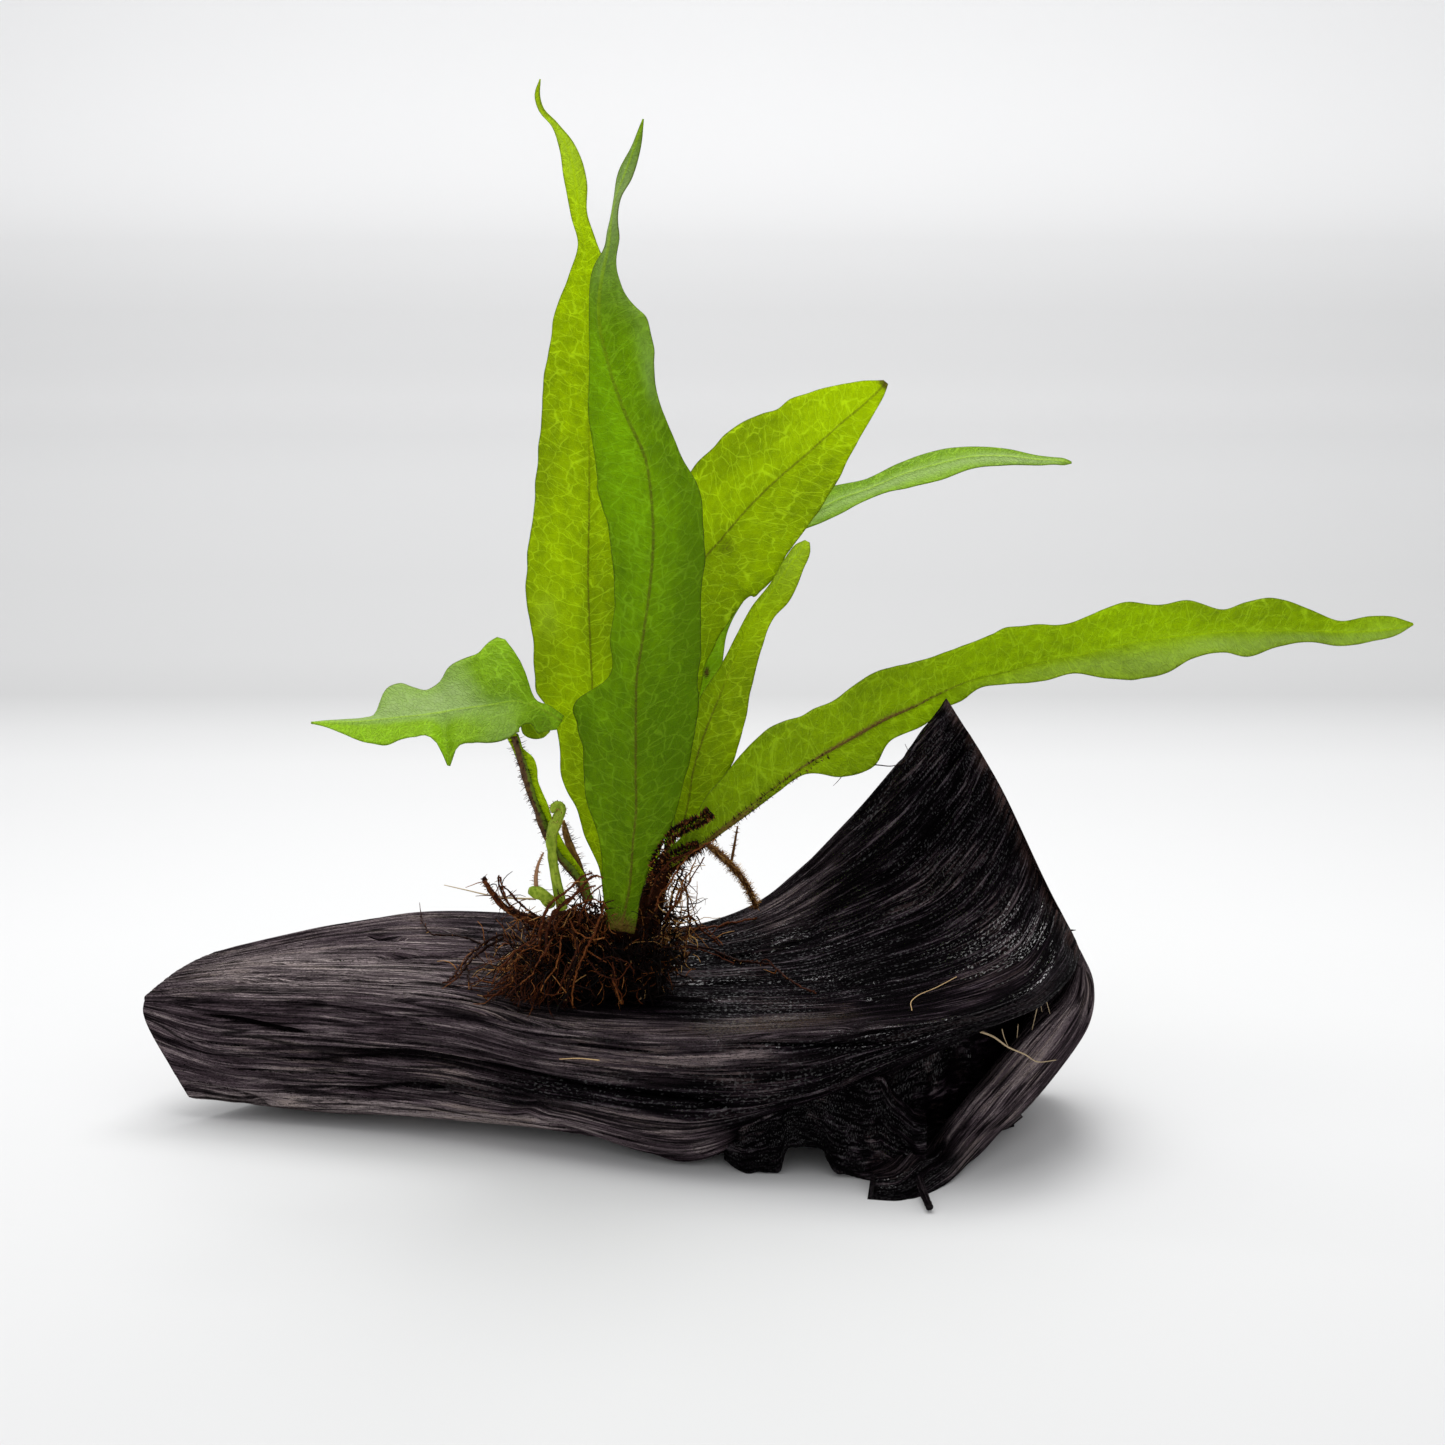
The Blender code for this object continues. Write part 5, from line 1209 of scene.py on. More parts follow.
def wall(xs, front, thick, bottom, top):
    """Rings of an upright wall: its front, underside, back and top at every X."""
    near, low, high = [np.zeros(len(xs)) + edge(xs) for edge in (front, bottom, top)]
    corners = [np.stack([xs, y, z], axis=1)
               for y, z in ((near, high), (near, low), (near + thick, low), (near + thick, high))]
    rings = [corners[k] + (corners[(k + 1) % 4] - corners[k]) * s
             for k, count in enumerate(WALL_COUNTS) for s in np.arange(count) / count]
    return np.stack(rings, axis=1)[:, ::-1]


def tube_grid(path, radii, sides, offset):
    """A round grid along a path, with its grain places and a height of zero."""
    turn = -np.arange(sides) * 2 * math.pi / sides
    grid = path[:, None] + ring_around(path, turn) * radii[:, None, None]
    along, around = np.arange(len(path)) * TWIG_GRAIN[0], np.arange(sides) * TWIG_GRAIN[1] + offset
    return grid, along, around, np.zeros(grid.shape[:2])


def take_strap(shell):
    """The curved strap from the lip of the bowl to the torn front foot."""
    stations, along = even_rows(RIM, RIM_STEP)
    grid = soften(round_sections(stations, RIM_COUNTS, ()), 2)
    around, whole = girth(grid)
    height = wood_relief(along, around, whole, np.zeros(grid.shape[:2]), RIM_SEED) * 0.7
    grid = raised(grid, height)
    torn = Relief(TORN_SEED, 64, 12)(np.zeros(len(around)), around / whole * 12) * 2.4
    grid[..., 0] += torn[None] * ease(along[-1] - 3, along[-1], along)[:, None]
    low_part = ease(14, 5, grid[..., 2]) * ease(66, 54, grid[..., 0])
    # Low down the strap is wet; higher up its state dips just below zero, a little painted light.
    shell.take(grid, along * 1.2, around * 1.3 + GRAIN_OFFSETS["strap"], height,
               (1.1 * low_part - 0.1)[..., None] * WET)


def take_curtains(shell):
    """The arch with its two legs, and the back of the cave: two rough upright walls."""
    low_x, low_z = zip(*ARCH_UNDER)
    top_x, top_z = zip(*ARCH_TOP)
    curtains = {
        "arch": (np.arange(*ARCH_XS),
                 lambda x: ARCH_FRONT + ARCH_SKEW * (x - ARCH_FROM) + 2.6 * ease(6, 0, x),
                 ARCH_BACK - ARCH_FRONT,
                 lambda x: np.interp(x, low_x, low_z), lambda x: np.interp(x, top_x, top_z) + 4),
        "cave": (np.arange(*CAVE_XS), lambda x: CAVE_FRONT + CAVE_SKEW * (x - CAVE_FROM), CAVE_THICK,
                 lambda x: 0.0, lambda x: np.interp(x, CAVE_X, CAVE_Z)),
    }
    rough = Relief(WALL_SEED, 64, 64)
    for name, (xs, front, thick, bottom, top) in curtains.items():
        grid = soften(wall(xs, front, thick, bottom, top), 2)
        across = np.arange(grid.shape[1])
        u, v = np.meshgrid(xs, across, indexing="ij")
        height = 1.6 * (rough(u / 6.0, v / 7.0) - 0.5) + 0.9 * (rough(u / 2.2 + 9, v / 3.1) - 0.5)
        # The height is lowered so that much of the arch and the cave's back goes black: painted shade.
        shell.take(raised(grid, height), xs * 4, across * 0.6 + GRAIN_OFFSETS[name], height - 0.75, WET)


def take_splinters(shell):
    """The broken twig under the foot, and the torn splinters along the strap."""
    rng = np.random.default_rng(TWIG_SEED)
    path, radii = stem_path([p + (1.1 - 0.1 * i,) for i, p in enumerate(TWIG)], 0.6)
    radii = radii * rng.uniform(0.85, 1.1, len(radii))
    shell.take(*tube_grid(path, radii, TWIG_SIDES, GRAIN_OFFSETS["twig"]), 0.8 * WET)
    for root, tip, depth, half in SPLINTERS:
        middle = ((root[0] + tip[0]) / 2, (root[1] + tip[1]) / 2)
        line = np.array([seen(*root, depth), seen(*middle, depth - 0.4), seen(*tip, depth - 0.6)])
        line[:, 2] = np.maximum(line[:, 2], 0.3)
        radii = half * np.array([1, 0.8, 0.15])
        grid, *places = tube_grid(line, radii, SPLINTER_SIDES, GRAIN_OFFSETS["splinters"])
        grid[..., 2] = np.maximum(grid[..., 2], 0.0)
        shell.take(grid, *places, 0.6 * WET)


def build_flare(finish):
    """The strap, the arch with its two legs, the cave's back, the twig and the splinters."""
    shell = Shell()
    take_strap(shell)
    take_curtains(shell)
    take_splinters(shell)
    shell.make("driftwood_flare", finish, "driftwood_wet", ("driftwood_rim",))


# ---------------------------------------------------------------- the fronds

# Each blade's tones, ripple of its margin (height, length), quilting between
# side veins, how far the midrib is brown from the base as a share of the
# length, and how much painted sheen, a pale cast for reflected light, lies on the whole blade.
FROND_LOOKS = {
    "frond_tall_front": ("green", 0.9, 17.0, 0.25, 0.75, 0.0),
    "frond_tall_back": ("yellow_green", 0.8, 20.0, 0.25, 0.6, 0.0),
    "frond_broad": ("yellow_green", 0.8, 18.0, 0.25, 1.2, 0.0),
    "frond_slim": ("pale", 0.9, 14.0, 0.2, 0.3, 0.0),
    "frond_young": ("yellow_green", 0.7, 12.0, 0.2, 0.5, 0.0),
    "frond_long": ("long", 1.1, 12.0, 0.25, 0.5, 0.0),
    "frond_left": ("pale", 1.2, 12.0, 0.25, 0.1, 0.55),
}
# Patches on a blade: where along it and across it (from -1 to 1), how far they
# reach both ways, then how much darker, paler and browner they are. Darker is
# painted shade (lighter below zero), and at some bases darker tissue; paler is a
# painted sheen; browner is the blade's own scorch.
PATCHES = {
    "frond_tall_front": [
        (0.22, 0.5, 0.16, 0.9, 0.45, 0, 0), (0.45, 0.9, 0.16, 0.45, 0.6, 0, 0),
        (0.60, -0.3, 0.10, 0.6, -0.35, 0.10, 0), (0.70, 0.9, 0.07, 0.3, -0.2, 0.55, 0),
        (0.90, 0.0, 0.10, 2.0, 0.35, 0.8, 0), (0.30, -0.9, 0.10, 0.4, 0.25, 0, 0),
        (0.0, 0.0, 0.035, 2.0, 0.9, 0, 0.75)],
    "frond_tall_back": [
        (0.85, 0.3, 0.10, 1.0, -0.3, 0.15, 0), (0.37, -0.7, 0.04, 0.3, -0.3, 0.3, 0),
        (0.06, 0.0, 0.08, 2.0, 0.35, 0, 0.1), (0.125, 0.75, 0.012, 0.3, 0.3, 0, 0.9),
        (0.30, -0.8, 0.12, 0.5, 0.25, 0, 0), (0.93, 0.0, 0.07, 2.0, -0.4, 0.45, 0)],
    "frond_broad": [
        (0.45, 0.7, 0.2, 0.4, -0.1, 0, 0), (0.62, 0.15, 0.03, 0.25, 0.2, 0, 0.5),
        (0.85, -0.4, 0.12, 0.6, -0.25, 0.1, 0), (0.30, 0.5, 0.12, 0.7, 0.3, 0, 0)],
    "frond_slim": [
        (0.75, 0.25, 0.20, 0.6, 0.1, 0.6, 0), (0.95, 0, 0.12, 1.0, 0.2, 0.5, 0),
        (0.52, 0.1, 0.16, 1.2, 0.1, 0.5, 0), (0.65, -0.95, 0.30, 0.35, 0.6, -0.3, 0),
        (0.29, 0.25, 0.012, 0.25, 0.4, 0, 0.8)],
    "frond_young": [
        (0.96, -0.2, 0.17, 1.4, -0.9, 0.5, 0), (0.70, 0.0, 0.07, 1.2, -0.5, 0.1, 0),
        (0.20, 0.3, 0.20, 1.0, 0.2, 0, 0), (0.02, 0, 0.04, 2, 0.2, 0, 0.5)],
    "frond_long": [
        (0.75, 0.6, 0.28, 0.6, -0.2, 0.55, 0), (0.97, 0, 0.06, 2, -0.3, 0.3, 0),
        (0.07, 0.55, 0.10, 0.62, 0.2, 0, 0.85), (0.30, 0.0, 0.17, 0.10, 0.1, 0, 0.75),
        (0.30, -0.5, 0.08, 0.5, 0.25, 0, 0), (0.52, -0.7, 0.10, 0.4, 0.2, 0, 0),
        (0.62, -0.3, 0.08, 0.5, -0.2, 0, 0)],
    "frond_left": [
        (0.25, 0.75, 0.10, 0.6, -0.2, -1.0, 0), (0.78, -0.8, 0.34, 0.5, -0.9, -1.5, 0),
        (0.04, 0.0, 0.12, 2.0, -0.4, -0.9, 0), (0.48, 0.35, 0.14, 0.4, 0, 0.4, 0),
        (0.70, 0.3, 0.16, 0.5, 0, 0.35, 0), (0.13, -0.8, 0.05, 0.4, 0.7, -0.5, 0),
        (0.46, -0.7, 0.08, 0.35, 0.1, -0.3, 0), (0.27, 0.05, 0.20, 0.10, 0.6, 0, 0)],
}


def blade_faces(count, columns):
    """Faces of a thin blade: its two sides, its two margins and its two ends."""
    half = count * columns
    faces = grid_faces(count, columns, False)
    faces += turned_over(grid_faces(count, columns, False, half))
    for i in range(count - 1):
        a, b = i * columns, (i + 1) * columns
        faces.append([a, b, half + b, half + a])
        a, b = a + columns - 1, b + columns - 1
        faces.append([b, a, half + a, half + b])
    for k in range(columns - 1):
        faces.append([k + 1, k, half + k, half + k + 1])
        a = (count - 1) * columns + k
        faces.append([a, a + 1, half + a + 1, half + a])
    return faces


def flat_blade(rows, share, width):
    """A blade's grid before it ripples: each half leans back from the midrib."""
    path = rows[:, :3]
    ahead = unit(np.gradient(path, axis=0))
    across = unit(np.cross(np.array([0.0, 1.0, 0.0]), ahead))
    behind = np.cross(ahead, across)
    lean = np.radians(np.where(share < 0, rows[:, 4:5], rows[:, 6:7]))
    t = share * width
    return (path[:, None] + (t * np.cos(lean))[..., None] * across[:, None]
            + (np.abs(t) * np.sin(lean))[..., None] * behind[:, None])


def build_frond(name, finish, seed):
    """A thin blade with a raised midrib and a rippled margin."""
    kind, ripple, wave, quilt, brown_to, whole_sheen = FROND_LOOKS[name]
    rows, far = even_rows(FRONDS[name], LEAF_STEP)
    along, length = far[:, None], far[-1]
    share = np.linspace(-1, 1, LEAF_COLUMNS + 1)[None]
    share = np.sign(share) * np.abs(share) ** MARGIN_CROWDING
    out = np.abs(share)
    side = np.where(share < 0, 0.0, 1.0)
    jag = MARGIN_JAG * (Relief(seed, 128, 2)(along / JAG_LENGTH, side) - 0.5)
    width = np.where(share < 0, rows[:, 3:4], rows[:, 5:6]) * (1 + jag * out ** 3)
    middle = flat_blade(rows, share, width)

    t = share * width
    reach = np.abs(t)
    size = np.clip(width / 10.0, 0, 1)
    fold = (Relief(seed + 1, 128, 2)(along / wave, side) - 0.5) * 2
    phase = (along - reach * VEIN_SLANT - reach ** 2 * VEIN_BEND) / VEIN_STEP
    lift = ripple * fold * out ** 2 * size
    lift += quilt * np.cos(2 * math.pi * phase) * out * (1 - out ** 4) * size
    middle = middle + blade_normals(middle) * lift[..., None]
    normal = blade_normals(middle)
    rib = RIB_HEIGHT * np.exp(-(t / RIB_WIDTH) ** 2) * (0.3 + 0.7 * ease(0, 8, length - along))
    thin = LEAF_THICK / 2 * (1 - 0.6 * out ** 6)
    upper = middle + normal * (thin + rib * 0.5)[..., None]
    lower = middle - normal * (thin + rib)[..., None]

    age = 0.0
    if name == "frond_broad":
        age = 0.9 * ease(length - 30, length - 3, along) + 1.2 * ease(length - 2.4, length, along + fold)
    ribs = 1 - ease(brown_to - 0.15, brown_to + 0.15, along / length)
    cast = np.zeros(t.shape + (3,)) + (0, whole_sheen, 0)
    for at, side_at, far_along, wide, *amounts in PATCHES[name]:
        near = np.exp(-((along / length - at) / far_along) ** 2 - ((share - side_at) / wide) ** 2)
        cast += near[..., None] * amounts
    kept = {"leaf": (along, t, share), "blade": (width - reach, ribs, age)}
    kept = {key: np.stack([part + 0 * t for part in parts], axis=-1) for key, parts in kept.items()}
    kept["cast"] = cast
    piece(name + "_blade", np.stack([upper, lower]).reshape(-1, 3),
          blade_faces(len(rows), LEAF_COLUMNS + 1), finish, (name,),
          {key: np.stack([values, values]) for key, values in kept.items()})


# ---------------------------------------------------------------- stems

def stem_path(rows, step=STEM_STEP):
    """A stem's path and radii at even steps."""
    even, _ = even_rows(rows, step)
    return even[:, :3], even[:, 3]


def hairs_on(strands, path, radii, rng, per_mm, long_hair, thickness, tones=(0.0, 1.0)):
    """Short hairs that stand out from a stem."""
    length = chords(path).sum()
    for _ in range(int(per_mm * length)):
        at = rng.uniform(0, len(path) - 1.001)
        k = int(at)
        run = path[k + 1] - path[k]
        out = unit(np.cross(unit(run), rng.normal(size=3)))
        root = path[k] + (at - k) * run + out * radii[k] * 0.8
        size = long_hair * rng.uniform(0.5, 1.0)
        bend = unit(rng.normal(size=3)) * 0.35 * size
        line = [root, root + out * size * 0.5 + bend * 0.3, root + out * size + bend]
        strands.add(line, [thickness, thickness * 0.8, thickness * 0.3], rng.uniform(*tones))


def fiddlehead_rows():
    """The stem and the coil of the rolled frond."""
    rows = list(FIDDLE_STEM)
    cx, cy, cz = COIL_CENTRE
    for k in range(1, COIL_STEPS + 1):
        s = k / COIL_STEPS
        a = math.radians(COIL_START + COIL_TURN * s)
        r = COIL_RADIUS[0] + (COIL_RADIUS[1] - COIL_RADIUS[0]) * s
        rows.append((cx + r * math.cos(a), cy - COIL_RISE * s, cz + r * math.sin(a), 1.3 - 0.45 * s))
    return rows


# Each stem's finish and slot.
STEM_LOOKS = {
    "rhizome": ("rhizome_scaly", "rhizome"), "frond_left_stem": ("stem_winged", "stem"),
    "old_stem": ("stem_dry", "stem_dry"), "young_bud": ("stem_green", "stem"),
    "aerial_root": ("stem_brown", "root"), "fiddlehead": ("stem_green", "stem"),
}
# Hairs on each stem: how many to the mm, their length and half width, their colour.
STEM_HAIRS = {
    "frond_left_stem": (9.0, 1.6, 0.10, "brown"), "aerial_root": (17.0, 1.4, 0.09, "gold"),
    "old_stem": (7.0, 2.0, 0.09, "brown"), "rhizome": (24.0, 2.0, 0.15, "brown"),
}
SHOOT_HAIRS = (5.0, 1.0, 0.09)      # these are the same without the colour
COIL_HAIRS = (9.0, 0.7, 0.14)
BASE_HAIRS = (6.0, 1.1, 0.13)       # along the base of the long frond
RHIZOME_HAIRS = (5.0, 2.4, 0.1)     # the golden ones among the brown


def build_stems(finishes, hair, golden):
    """The stalks that are not blades, with their hairs."""
    rng = np.random.default_rng(HAIR_SEED)
    hairs = {"brown": Strands(HAIR_SIDES), "gold": Strands(HAIR_SIDES)}
    gold = hairs["gold"]
    for name, rows in {**STEMS, "fiddlehead": fiddlehead_rows()}.items():
        path, radii = stem_path(rows)
        lumps = Relief(len(name), 64, 4)
        radii = radii * (0.9 + 0.3 * lumps(np.arange(len(radii)) * 0.4, 0.5))
        stem = Strands(STEM_SIDES)
        stem.add(path, radii, STALK_MARK)
        if name in SHOOTS:
            shoot, thin = stem_path(SHOOTS[name])
            stem.add(shoot, thin, SHOOT_MARK)
            hairs_on(gold, shoot, thin, rng, *SHOOT_HAIRS)
        finish, slot = STEM_LOOKS[name]
        stem.make(name + "_stalk", finishes[finish], slot, (name,))
        if name in STEM_HAIRS:
            *amounts, colour = STEM_HAIRS[name]
            hairs_on(hairs[colour], path, radii, rng, *amounts)
        if name == "fiddlehead":
            coil = int(COIL_SHARE * len(path))
            hairs_on(gold, path[-coil:], radii[-coil:], rng, *COIL_HAIRS)
    base = np.array([row[:3] for row in FRONDS["frond_long"][:7]], float) + (0, -0.8, -0.5)
    hairs_on(hairs["brown"], base, np.full(len(base), 0.6), rng, *BASE_HAIRS)
    hairs_on(gold, *stem_path(STEMS["rhizome"]), rng, *RHIZOME_HAIRS)
    gold.make("golden_hairs", golden, "root")
    hairs["brown"].make("stem_hairs", hair, "root")


# The green wing along the left frond's stem: pixels of its left and right edge.
WING = [((505, 729), (512, 728)), ((507, 738), (520, 739)), ((512, 748), (523, 748)),
        ((516, 758), (533, 757)), ((521, 768), (537, 767)), ((526, 779), (538, 780)),
        ((532, 790), (542, 791)), ((537, 801), (547, 802)), ((543, 816), (552, 817)),
        ((550, 834), (559, 833)), ((557, 850), (567, 848)), ((566, 866), (578, 864)),
        ((574, 878), (586, 876))]
# The dark lobe that curls under the left frond's base: top and bottom edge.
LOBE = [((522, 708), (520, 722)), ((528, 707), (523, 734)), ((536, 708), (533, 739)),
        ((543, 712), (543, 738)), ((549, 719), (550, 732))]
LOBE_DEPTH = -4.5
LOBE_TWIST = 1.0        # its lower edge stands this much in front of the upper one
WING_FORWARD = 0.3      # the wing's left edge stands this much in front of the stem
WING_TWIST = 0.8        # and its right edge this much in front of the left one
WING_SIDES = 12
WING_HALF_THICK = 0.22
# Painted shade on the wing and the lobe: the wing is painted lighter (below zero), the curled lobe darker.
WING_PAINTED_SHADE, LOBE_PAINTED_SHADE = -0.9, 0.5
VEINS_FROM = 3.0        # the strips' colours are read this far from a midrib
PLAIN_EDGE = 5.0        # and this far from a margin


def build_wing(finish):
    """The thin leafy edge down the left frond's stem, and the lobe under its base."""
    stem, _ = stem_path(STEMS["frond_left_stem"])
    wing = []
    for left, right in WING:
        depth = np.interp(seen(*left, 0.0)[2], stem[:, 2], stem[:, 1]) - WING_FORWARD
        wing.append((seen(*left, depth), seen(*right, depth - WING_TWIST)))
    lobe = [(seen(*high, LOBE_DEPTH), seen(*low, LOBE_DEPTH - LOBE_TWIST)) for high, low in LOBE]
    turn = np.arange(WING_SIDES) * 2 * math.pi / WING_SIDES
    strips = Gathered()
    for edges, painted_shade_and_dark in ((wing, WING_PAINTED_SHADE), (lobe, LOBE_PAINTED_SHADE)):
        rows, along = even_rows(edges, STEM_STEP)
        middle = rows.mean(axis=1)
        half = (rows[:, 1] - rows[:, 0]) / 2
        face = unit(np.cross(half, unit(np.gradient(middle, axis=0))))
        grid = (middle[:, None] + np.cos(turn)[None, :, None] * half[:, None]
                + WING_HALF_THICK * np.sin(turn)[None, :, None] * face[:, None])
        across = np.cos(turn)[None] * np.linalg.norm(half, axis=1)[:, None] + VEINS_FROM
        leaf = np.stack([along[:, None] + 0 * across, across, 0 * across], axis=-1)
        strips.gather(grid, turned_over(tube_faces(len(grid), WING_SIDES, strips.count)),
                      leaf=leaf, blade=(PLAIN_EDGE, 0, 0), cast=(painted_shade_and_dark, 0, 0))
    strips.make("frond_left_wing", finish, "leaf_yellow_green")


# ---------------------------------------------------------------- roots

def lifted(point, radius, ground):
    """A point kept out of the wood."""
    place, normal, _, _ = ground.find_nearest(Vector(point))
    if place is not None and (Vector(point) - place).dot(normal) < radius:
        return np.array(place + normal * radius)
    return point


def wander(rng, start, heading, length, ground, curl, droop, radius, step=1.6):
    """A root's path: it winds, sinks, and lies on the wood it meets."""
    point = np.array(start, float)
    heading = unit(np.array(heading, float))
    bend = rng.normal(size=3)
    path = [point]
    for _ in range(max(4, int(length / step))):
        bend = unit(bend + rng.normal(size=3) * 0.7)
        heading = unit(heading + curl * bend + np.array([0, 0, -droop]))
        point = lifted(point + heading * step, radius, ground)
        path.append(point)
    return np.array(path)


def build_core(finish):
    """The dark heart of the root mass: a near-black lump that stands for the shade inside it."""
    rise = np.linspace(-0.5, 0.5, CORE_TIERS + 1)[:, None] * math.pi
    turn = np.arange(CORE_TURNS)[None] * 2 * math.pi / CORE_TURNS
    x, y, z = np.cos(rise) * np.cos(turn), np.cos(rise) * np.sin(turn), np.sin(rise) + 0 * turn
    lump = 0.74 + 0.16 * np.sin(5 * x + 1) * np.cos(6 * y) + 0.05 * np.sin(11 * z)
    points = np.array(CORE_CENTRE) + np.array(CORE_SIZE) * np.stack([x, y, z], axis=-1) * lump[..., None]
    shares = np.tile(np.linspace(0, 1, CORE_TURNS), CORE_TIERS + 1)
    marks = np.stack([shares * 0, shares * 0, shares * 6], axis=1)
    piece("root_core", points.reshape(-1, 3), grid_faces(CORE_TIERS + 1, CORE_TURNS, True),
          finish, attributes={"strand": marks})


def build_main_roots(rng, ground, finish):
    """The long roots of the solid, frayed into plies, with hairs and short twigs."""
    main = Strands(ROOT_SIDES["main"])
    for radius, points in ROOTS[:STRAW_ROOT] + ROOTS[STRAW_ROOT + 1:]:
        thick = radius > THICK_ROOT
        plies = 4 if radius > THICKEST_ROOT else 2 if thick else 1
        rows = [p + (radius * (1 - 0.4 * i / (len(points) - 1)),) for i, p in enumerate(points)]
        path, radii = stem_path(rows, 0.8)
        for _ in range(plies):
            shake = np.cumsum(rng.normal(size=path.shape) * 0.14, axis=0)
            shake -= np.linspace(0, 1, len(path))[:, None] * shake[-1]
            if plies > 1:
                shake += rng.normal(size=3) * 0.45
            line = np.array([lifted(p, r, ground) for p, r in zip(path + shake, radii)])
            rough = rng.uniform(0.75, 1.15, len(radii))
            main.add(line, radii * rough * (0.7 if plies > 1 else 0.85), rng.uniform(0.25, 0.7))
            hairs_on(main, line, radii, rng, per_mm=2.0 if thick else 0.5, long_hair=0.9, thickness=0.10)
            for _ in range(4 if thick else 2):
                k = rng.integers(len(line) // 4, len(line) - 1)
                twig = wander(rng, line[k], rng.normal(size=3), rng.uniform(1.5, 6), ground,
                              curl=0.5, droop=0.05, radius=0.2)
                main.add(twig, np.linspace(0.18, 0.07, len(twig)), rng.uniform(0.3, 0.9))
    main.make("main_roots", finish, "root", ("root_tuft",))


def build_tangle(rng, ground, finish):
    """The many roots that wind through the mass."""
    inner = Strands(ROOT_SIDES["inner"])
    for _ in range(TANGLE_COUNT):
        way = unit(rng.normal(size=3) * np.array([1.0, 0.9, 0.7]) + np.array([-0.1, -0.1, 0.15]))
        start = np.array(TUFT_CENTRE) + (0, 0, 5.0) + way * TUFT_SIZE * rng.uniform(0.35, 0.72)
        heading = way + rng.normal(size=3) * 0.8
        path = wander(rng, start, heading, rng.uniform(8, 24), ground,
                      curl=0.45, droop=0.12, radius=0.25, step=1.3)
        radius = rng.choice(TANGLE_RADII, p=TANGLE_SHARES)
        radii = np.linspace(radius, radius * 0.4, len(path)) * rng.uniform(0.8, 1.15, len(path))
        # Most strands get dark tones: partly their own colour, partly painted shade inside the mass.
        inner.add(path, radii, rng.random() ** 2.4)
    inner.make("root_tangle", finish, "root")


def add_fringe(rng, ground, strands):
    """Fine roots that leave the mass all round."""
    for _ in range(FRINGE_COUNT):
        turn = rng.uniform(0, 2 * math.pi)
        way = np.array([math.cos(turn), 0.75 * math.sin(turn), rng.uniform(-0.2, 0.6)])
        start = np.array(TUFT_CENTRE) + (0, 0, 4.0) + way * TUFT_SIZE * rng.uniform(0.5, 0.8)
        heading = way + rng.normal(size=3) * 0.35
        path = wander(rng, start, heading, rng.uniform(6, 15), ground, curl=0.4, droop=0.16, radius=0.15)
        radius = rng.uniform(0.07, 0.17)
        strands.add(path, np.linspace(radius, radius * 0.4, len(path)), rng.random() ** 1.4)


def add_clusters(rng, ground, strands, clusters):
    """Fine roots that grow close together from one place."""
    for low, high, count, way, vary, reach, half, curl, droop, tones in clusters:
        for _ in range(count):
            start = np.array([rng.uniform(a, b) for a, b in zip(low, high)])
            heading = np.array(way) + rng.normal(size=3) * vary
            path = wander(rng, start, heading, rng.uniform(*reach), ground, curl, droop,
                          radius=0.2, step=1.1)
            radius = rng.uniform(*half)
            radii = np.linspace(radius, radius * 0.35, len(path)) * rng.uniform(0.85, 1.15, len(path))
            strands.add(path, radii, rng.uniform(*tones))


def add_near_roots(rng, ground, strands):
    """The strands that the photo shows one by one, and the hairy crusts."""
    for radius, tone, places in NEAR_ROOTS:
        path, radii = stem_path([(*seen(*p), radius) for p in places])
        path = path + np.cumsum(rng.normal(size=path.shape) * 0.16, axis=0)
        path = np.array([lifted(p, r, ground) for p, r in zip(path, radii)])
        rough = rng.uniform(0.8, 1.15, len(radii))
        strands.add(path, radii * rough * np.linspace(1, 0.6, len(radii)), tone)
        hairs_on(strands, path, radii, rng, per_mm=0.8, long_hair=1.0, thickness=0.08)
    for per_mm, long_hair, places in CRUSTS:
        crust = np.array([seen(*p) for p in places])
        hairs_on(strands, crust, np.ones(len(crust)), rng, per_mm, long_hair,
                 thickness=0.2, tones=(0.0, 0.8))


def build_roots(ground, finishes):
    """The root mass: its heart, its main roots, and many finer ones around them."""
    rng = np.random.default_rng(ROOT_SEED)
    build_core(finishes["heart"])
    build_main_roots(rng, ground, finishes["main"])
    build_tangle(rng, ground, finishes["inner"])
    outer, curls = Strands(ROOT_SIDES["outer"]), Strands(ROOT_SIDES["outer"])
    add_fringe(rng, ground, outer)
    add_clusters(rng, ground, outer, CLUSTERS)
    add_clusters(rng, ground, curls, GOLD_CLUSTERS)
    add_near_roots(rng, ground, outer)
    curls.make("root_curls", finishes["gold"], "root")
    outer.make("root_fringe", finishes["outer"], "root")


def on_wood(px, py, ground):
    """The point of the wood that shows at a pixel of the photo, a little above it."""
    eye, way = sight(px, py)
    hit, normal, _, _ = ground.ray_cast(Vector(eye), Vector(unit(way)))
    return np.array(hit + normal * STRAW_LIFT)


def build_loose(ground, straw, fibre):
    """Straws that lie on the wood and fibres that hang free, where the photo shows them."""
    straws = Strands(FIBRE_SIDES)
    for radius, pixels in STRAWS:
        straws.add(*stem_path([(*on_wood(*p, ground), radius) for p in pixels], FIBRE_STEP), STRAW_MARK)
    straws.make("loose_straws", straw, "root")
    fibres = Strands(FIBRE_SIDES)
    for radius, tone, places in FREE_FIBRES:
        path, radii = stem_path([(*seen(*p), radius) for p in places], FIBRE_STEP)
        fibres.add(path, radii * np.linspace(1, 0.35, len(radii)), tone)
    fibres.make("loose_fibres", fibre, "root")


# ---------------------------------------------------------------- floor, light and camera

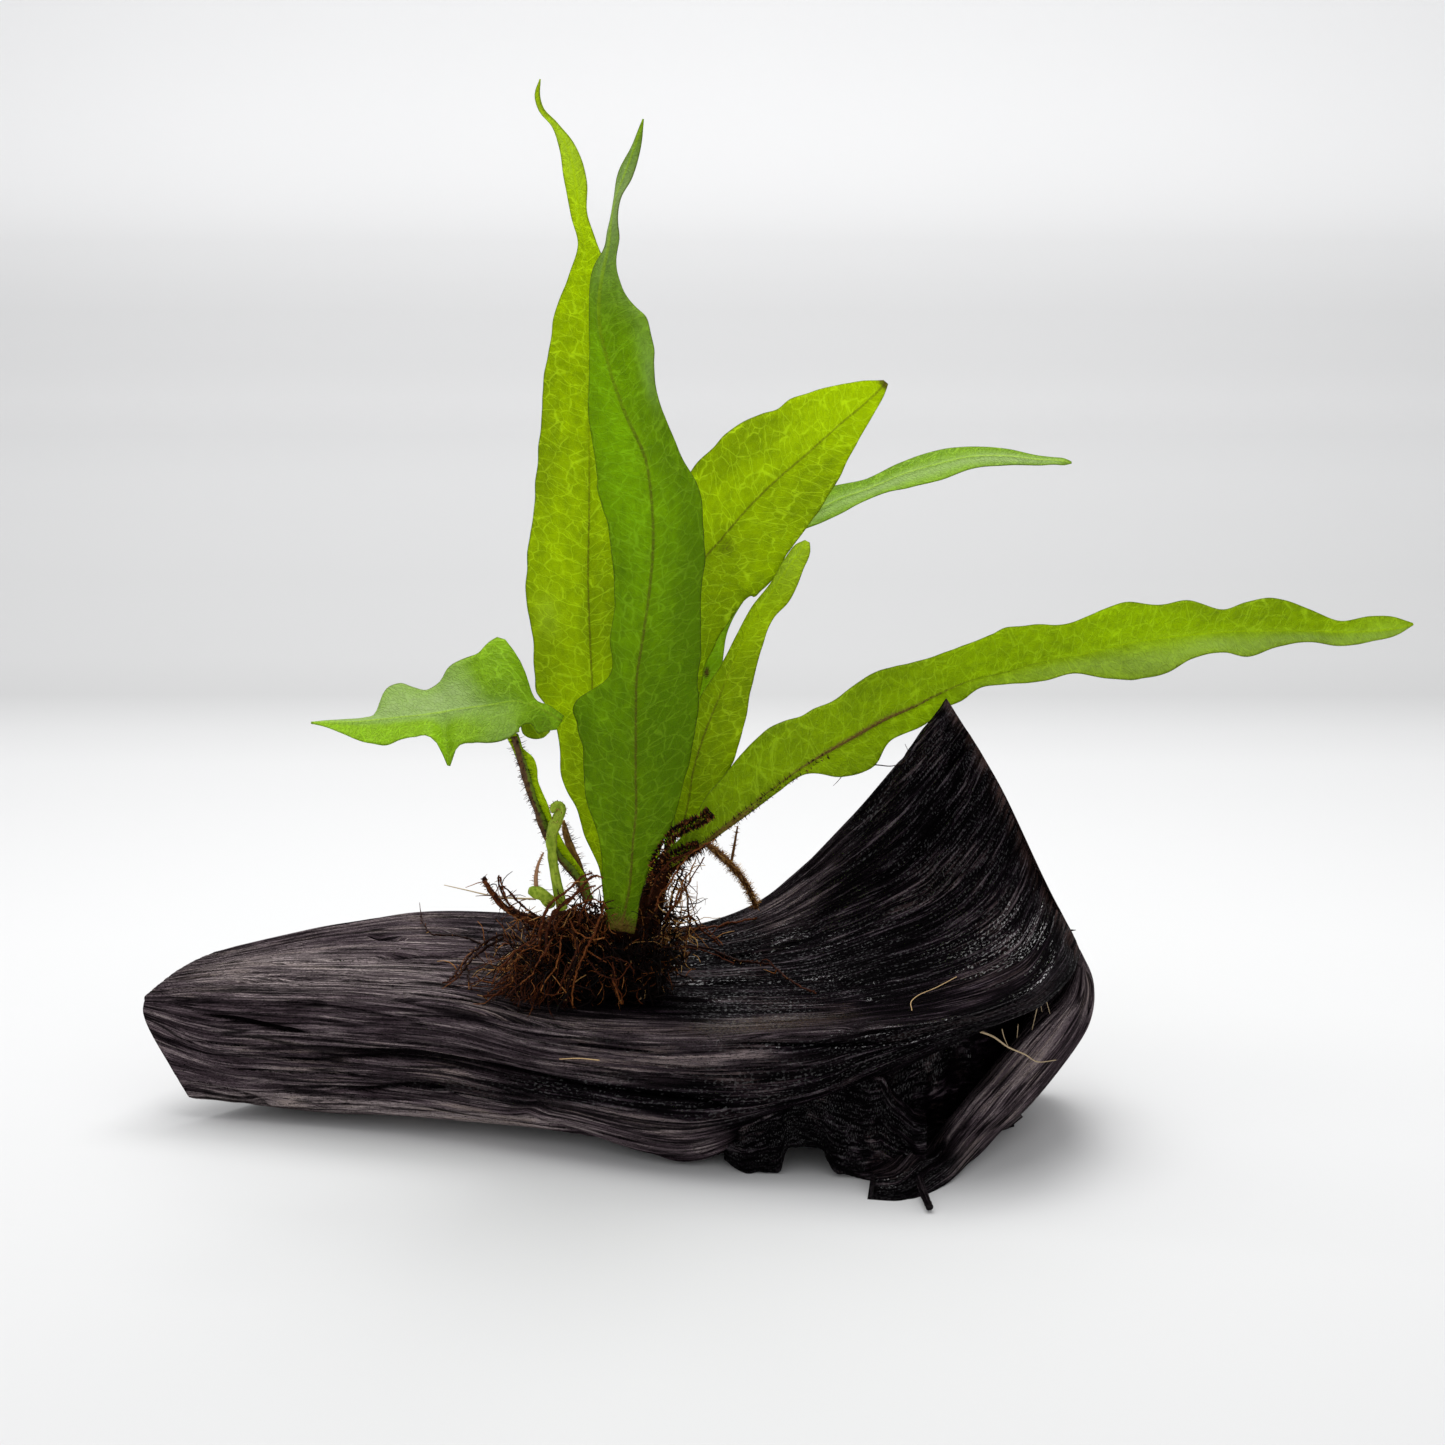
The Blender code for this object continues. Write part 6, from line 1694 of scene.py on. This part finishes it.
def build_stage():
    """A pale floor that curves up far behind."""
    curve = [(WALL_Y + WALL_BEND * (math.sin(a) - 1), WALL_BEND * (1 - math.cos(a)))
             for a in np.linspace(0, math.pi / 2, 17)]
    profile = [(-FLOOR_HALF, 0)] + curve + [(WALL_Y, WALL_TOP)]
    points = [(x, y, z) for y, z in profile for x in (-FLOOR_HALF, FLOOR_HALF)]
    faces = [[2 * k, 2 * k + 1, 2 * k + 3, 2 * k + 2] for k in range(len(profile) - 1)]
    floor = mesh_object("floor", points, faces, floor_finish("pale_floor"))


# Soft boxes: place, what they look at and width, all in metres, and power.
LIGHTS = {
    "top_box": ((-0.12, 0.12, 0.95), (0, 0, 0.03), 0.7, 6.6),
    "wall_box": ((0, 1.0, 0.75), (0, 1.5, 0.28), 1.2, 2.2),
    "back_box": ((0.1, 0.27, 0.66), (0, 0, 0.10), 0.22, 1.2),
}
SKY_COLOUR = (0.98, 0.985, 1.0, 1.0)
SKY_STRENGTH = 0.755


def aimed(name, data, place, aim):
    """A light or camera that looks from one place to another, both in metres."""
    obj = bpy.data.objects.new(name, data)
    obj.location = place
    obj.rotation_euler = (Vector(aim) - Vector(place)).to_track_quat("-Z", "Y").to_euler()
    bpy.context.scene.collection.objects.link(obj)
    return obj


def build_light():
    """Soft light from above and behind, and pale air all round."""
    world = bpy.data.worlds.new("studio")
    world.use_nodes = True
    sky = world.node_tree.nodes["Background"]
    sky.inputs["Color"].default_value = SKY_COLOUR
    sky.inputs["Strength"].default_value = SKY_STRENGTH
    bpy.context.scene.world = world
    for name, (place, aim, size, power) in LIGHTS.items():
        data = bpy.data.lights.new(name, "AREA")
        data.size = size
        data.energy = power
        aimed(name, data, place, aim).visible_camera = False


def build_camera():
    """The camera: a long lens, a little above the wood."""
    data = bpy.data.cameras.new("camera")
    data.sensor_width = SENSOR
    data.sensor_fit = "HORIZONTAL"
    data.lens = SENSOR * LENS_PX / PHOTO_PX
    bpy.context.scene.camera = aimed("camera", data, Vector(camera_frame()[0]) * MM, Vector(CAMERA_AIM) * MM)


def main():
    """All pieces."""
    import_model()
    for obj in [o for o in bpy.data.objects if o.name in ("Cube", "Light", "Camera")]:
        bpy.data.objects.remove(obj)
    bpy.context.scene.view_settings.view_transform = "Standard"
    build_camera()
    build_light()
    build_stage()

    wood = wood_finish("driftwood_grain")
    driftwood = build_driftwood(wood)
    build_flare(wood)
    ground = BVHTree.FromPolygons([v.co / MM for v in driftwood.data.vertices],
                                  [p.vertices for p in driftwood.data.polygons])

    leaves = {kind: leaf_finish("leaf_" + kind, *tones) for kind, tones in LEAF_TONES.items()}
    for index, name in enumerate(FRONDS):
        build_frond(name, leaves[FROND_LOOKS[name][0]], FROND_SEED + FROND_SEED_STEP * index)

    stems = {name: stem_finish(name, *tones) for name, tones in STEM_TONES.items()}
    stems["stem_winged"] = winged_finish("stem_winged", WINGED_BROWN, WINGED_GREEN)
    build_stems(stems, root_finish("stem_hair", BROWN_TONES), root_finish("golden_hair", GOLD_TONES))
    build_wing(leaves["yellow_green"])

    build_roots(ground, {
        "heart": root_finish("root_core_shade", CORE_SHADE_TONES, 0.9, 0.1),
        "main": root_finish("root_main", PALE_TONES), "inner": root_finish("root_inner", BROWN_TONES),
        "outer": root_finish("root_outer", PALE_TONES), "gold": root_finish("root_gold", GOLD_TONES)})
    build_loose(ground, root_finish("straw", STRAW_TONES), root_finish("fibre", FIBRE_TONES))

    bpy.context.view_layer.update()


main()
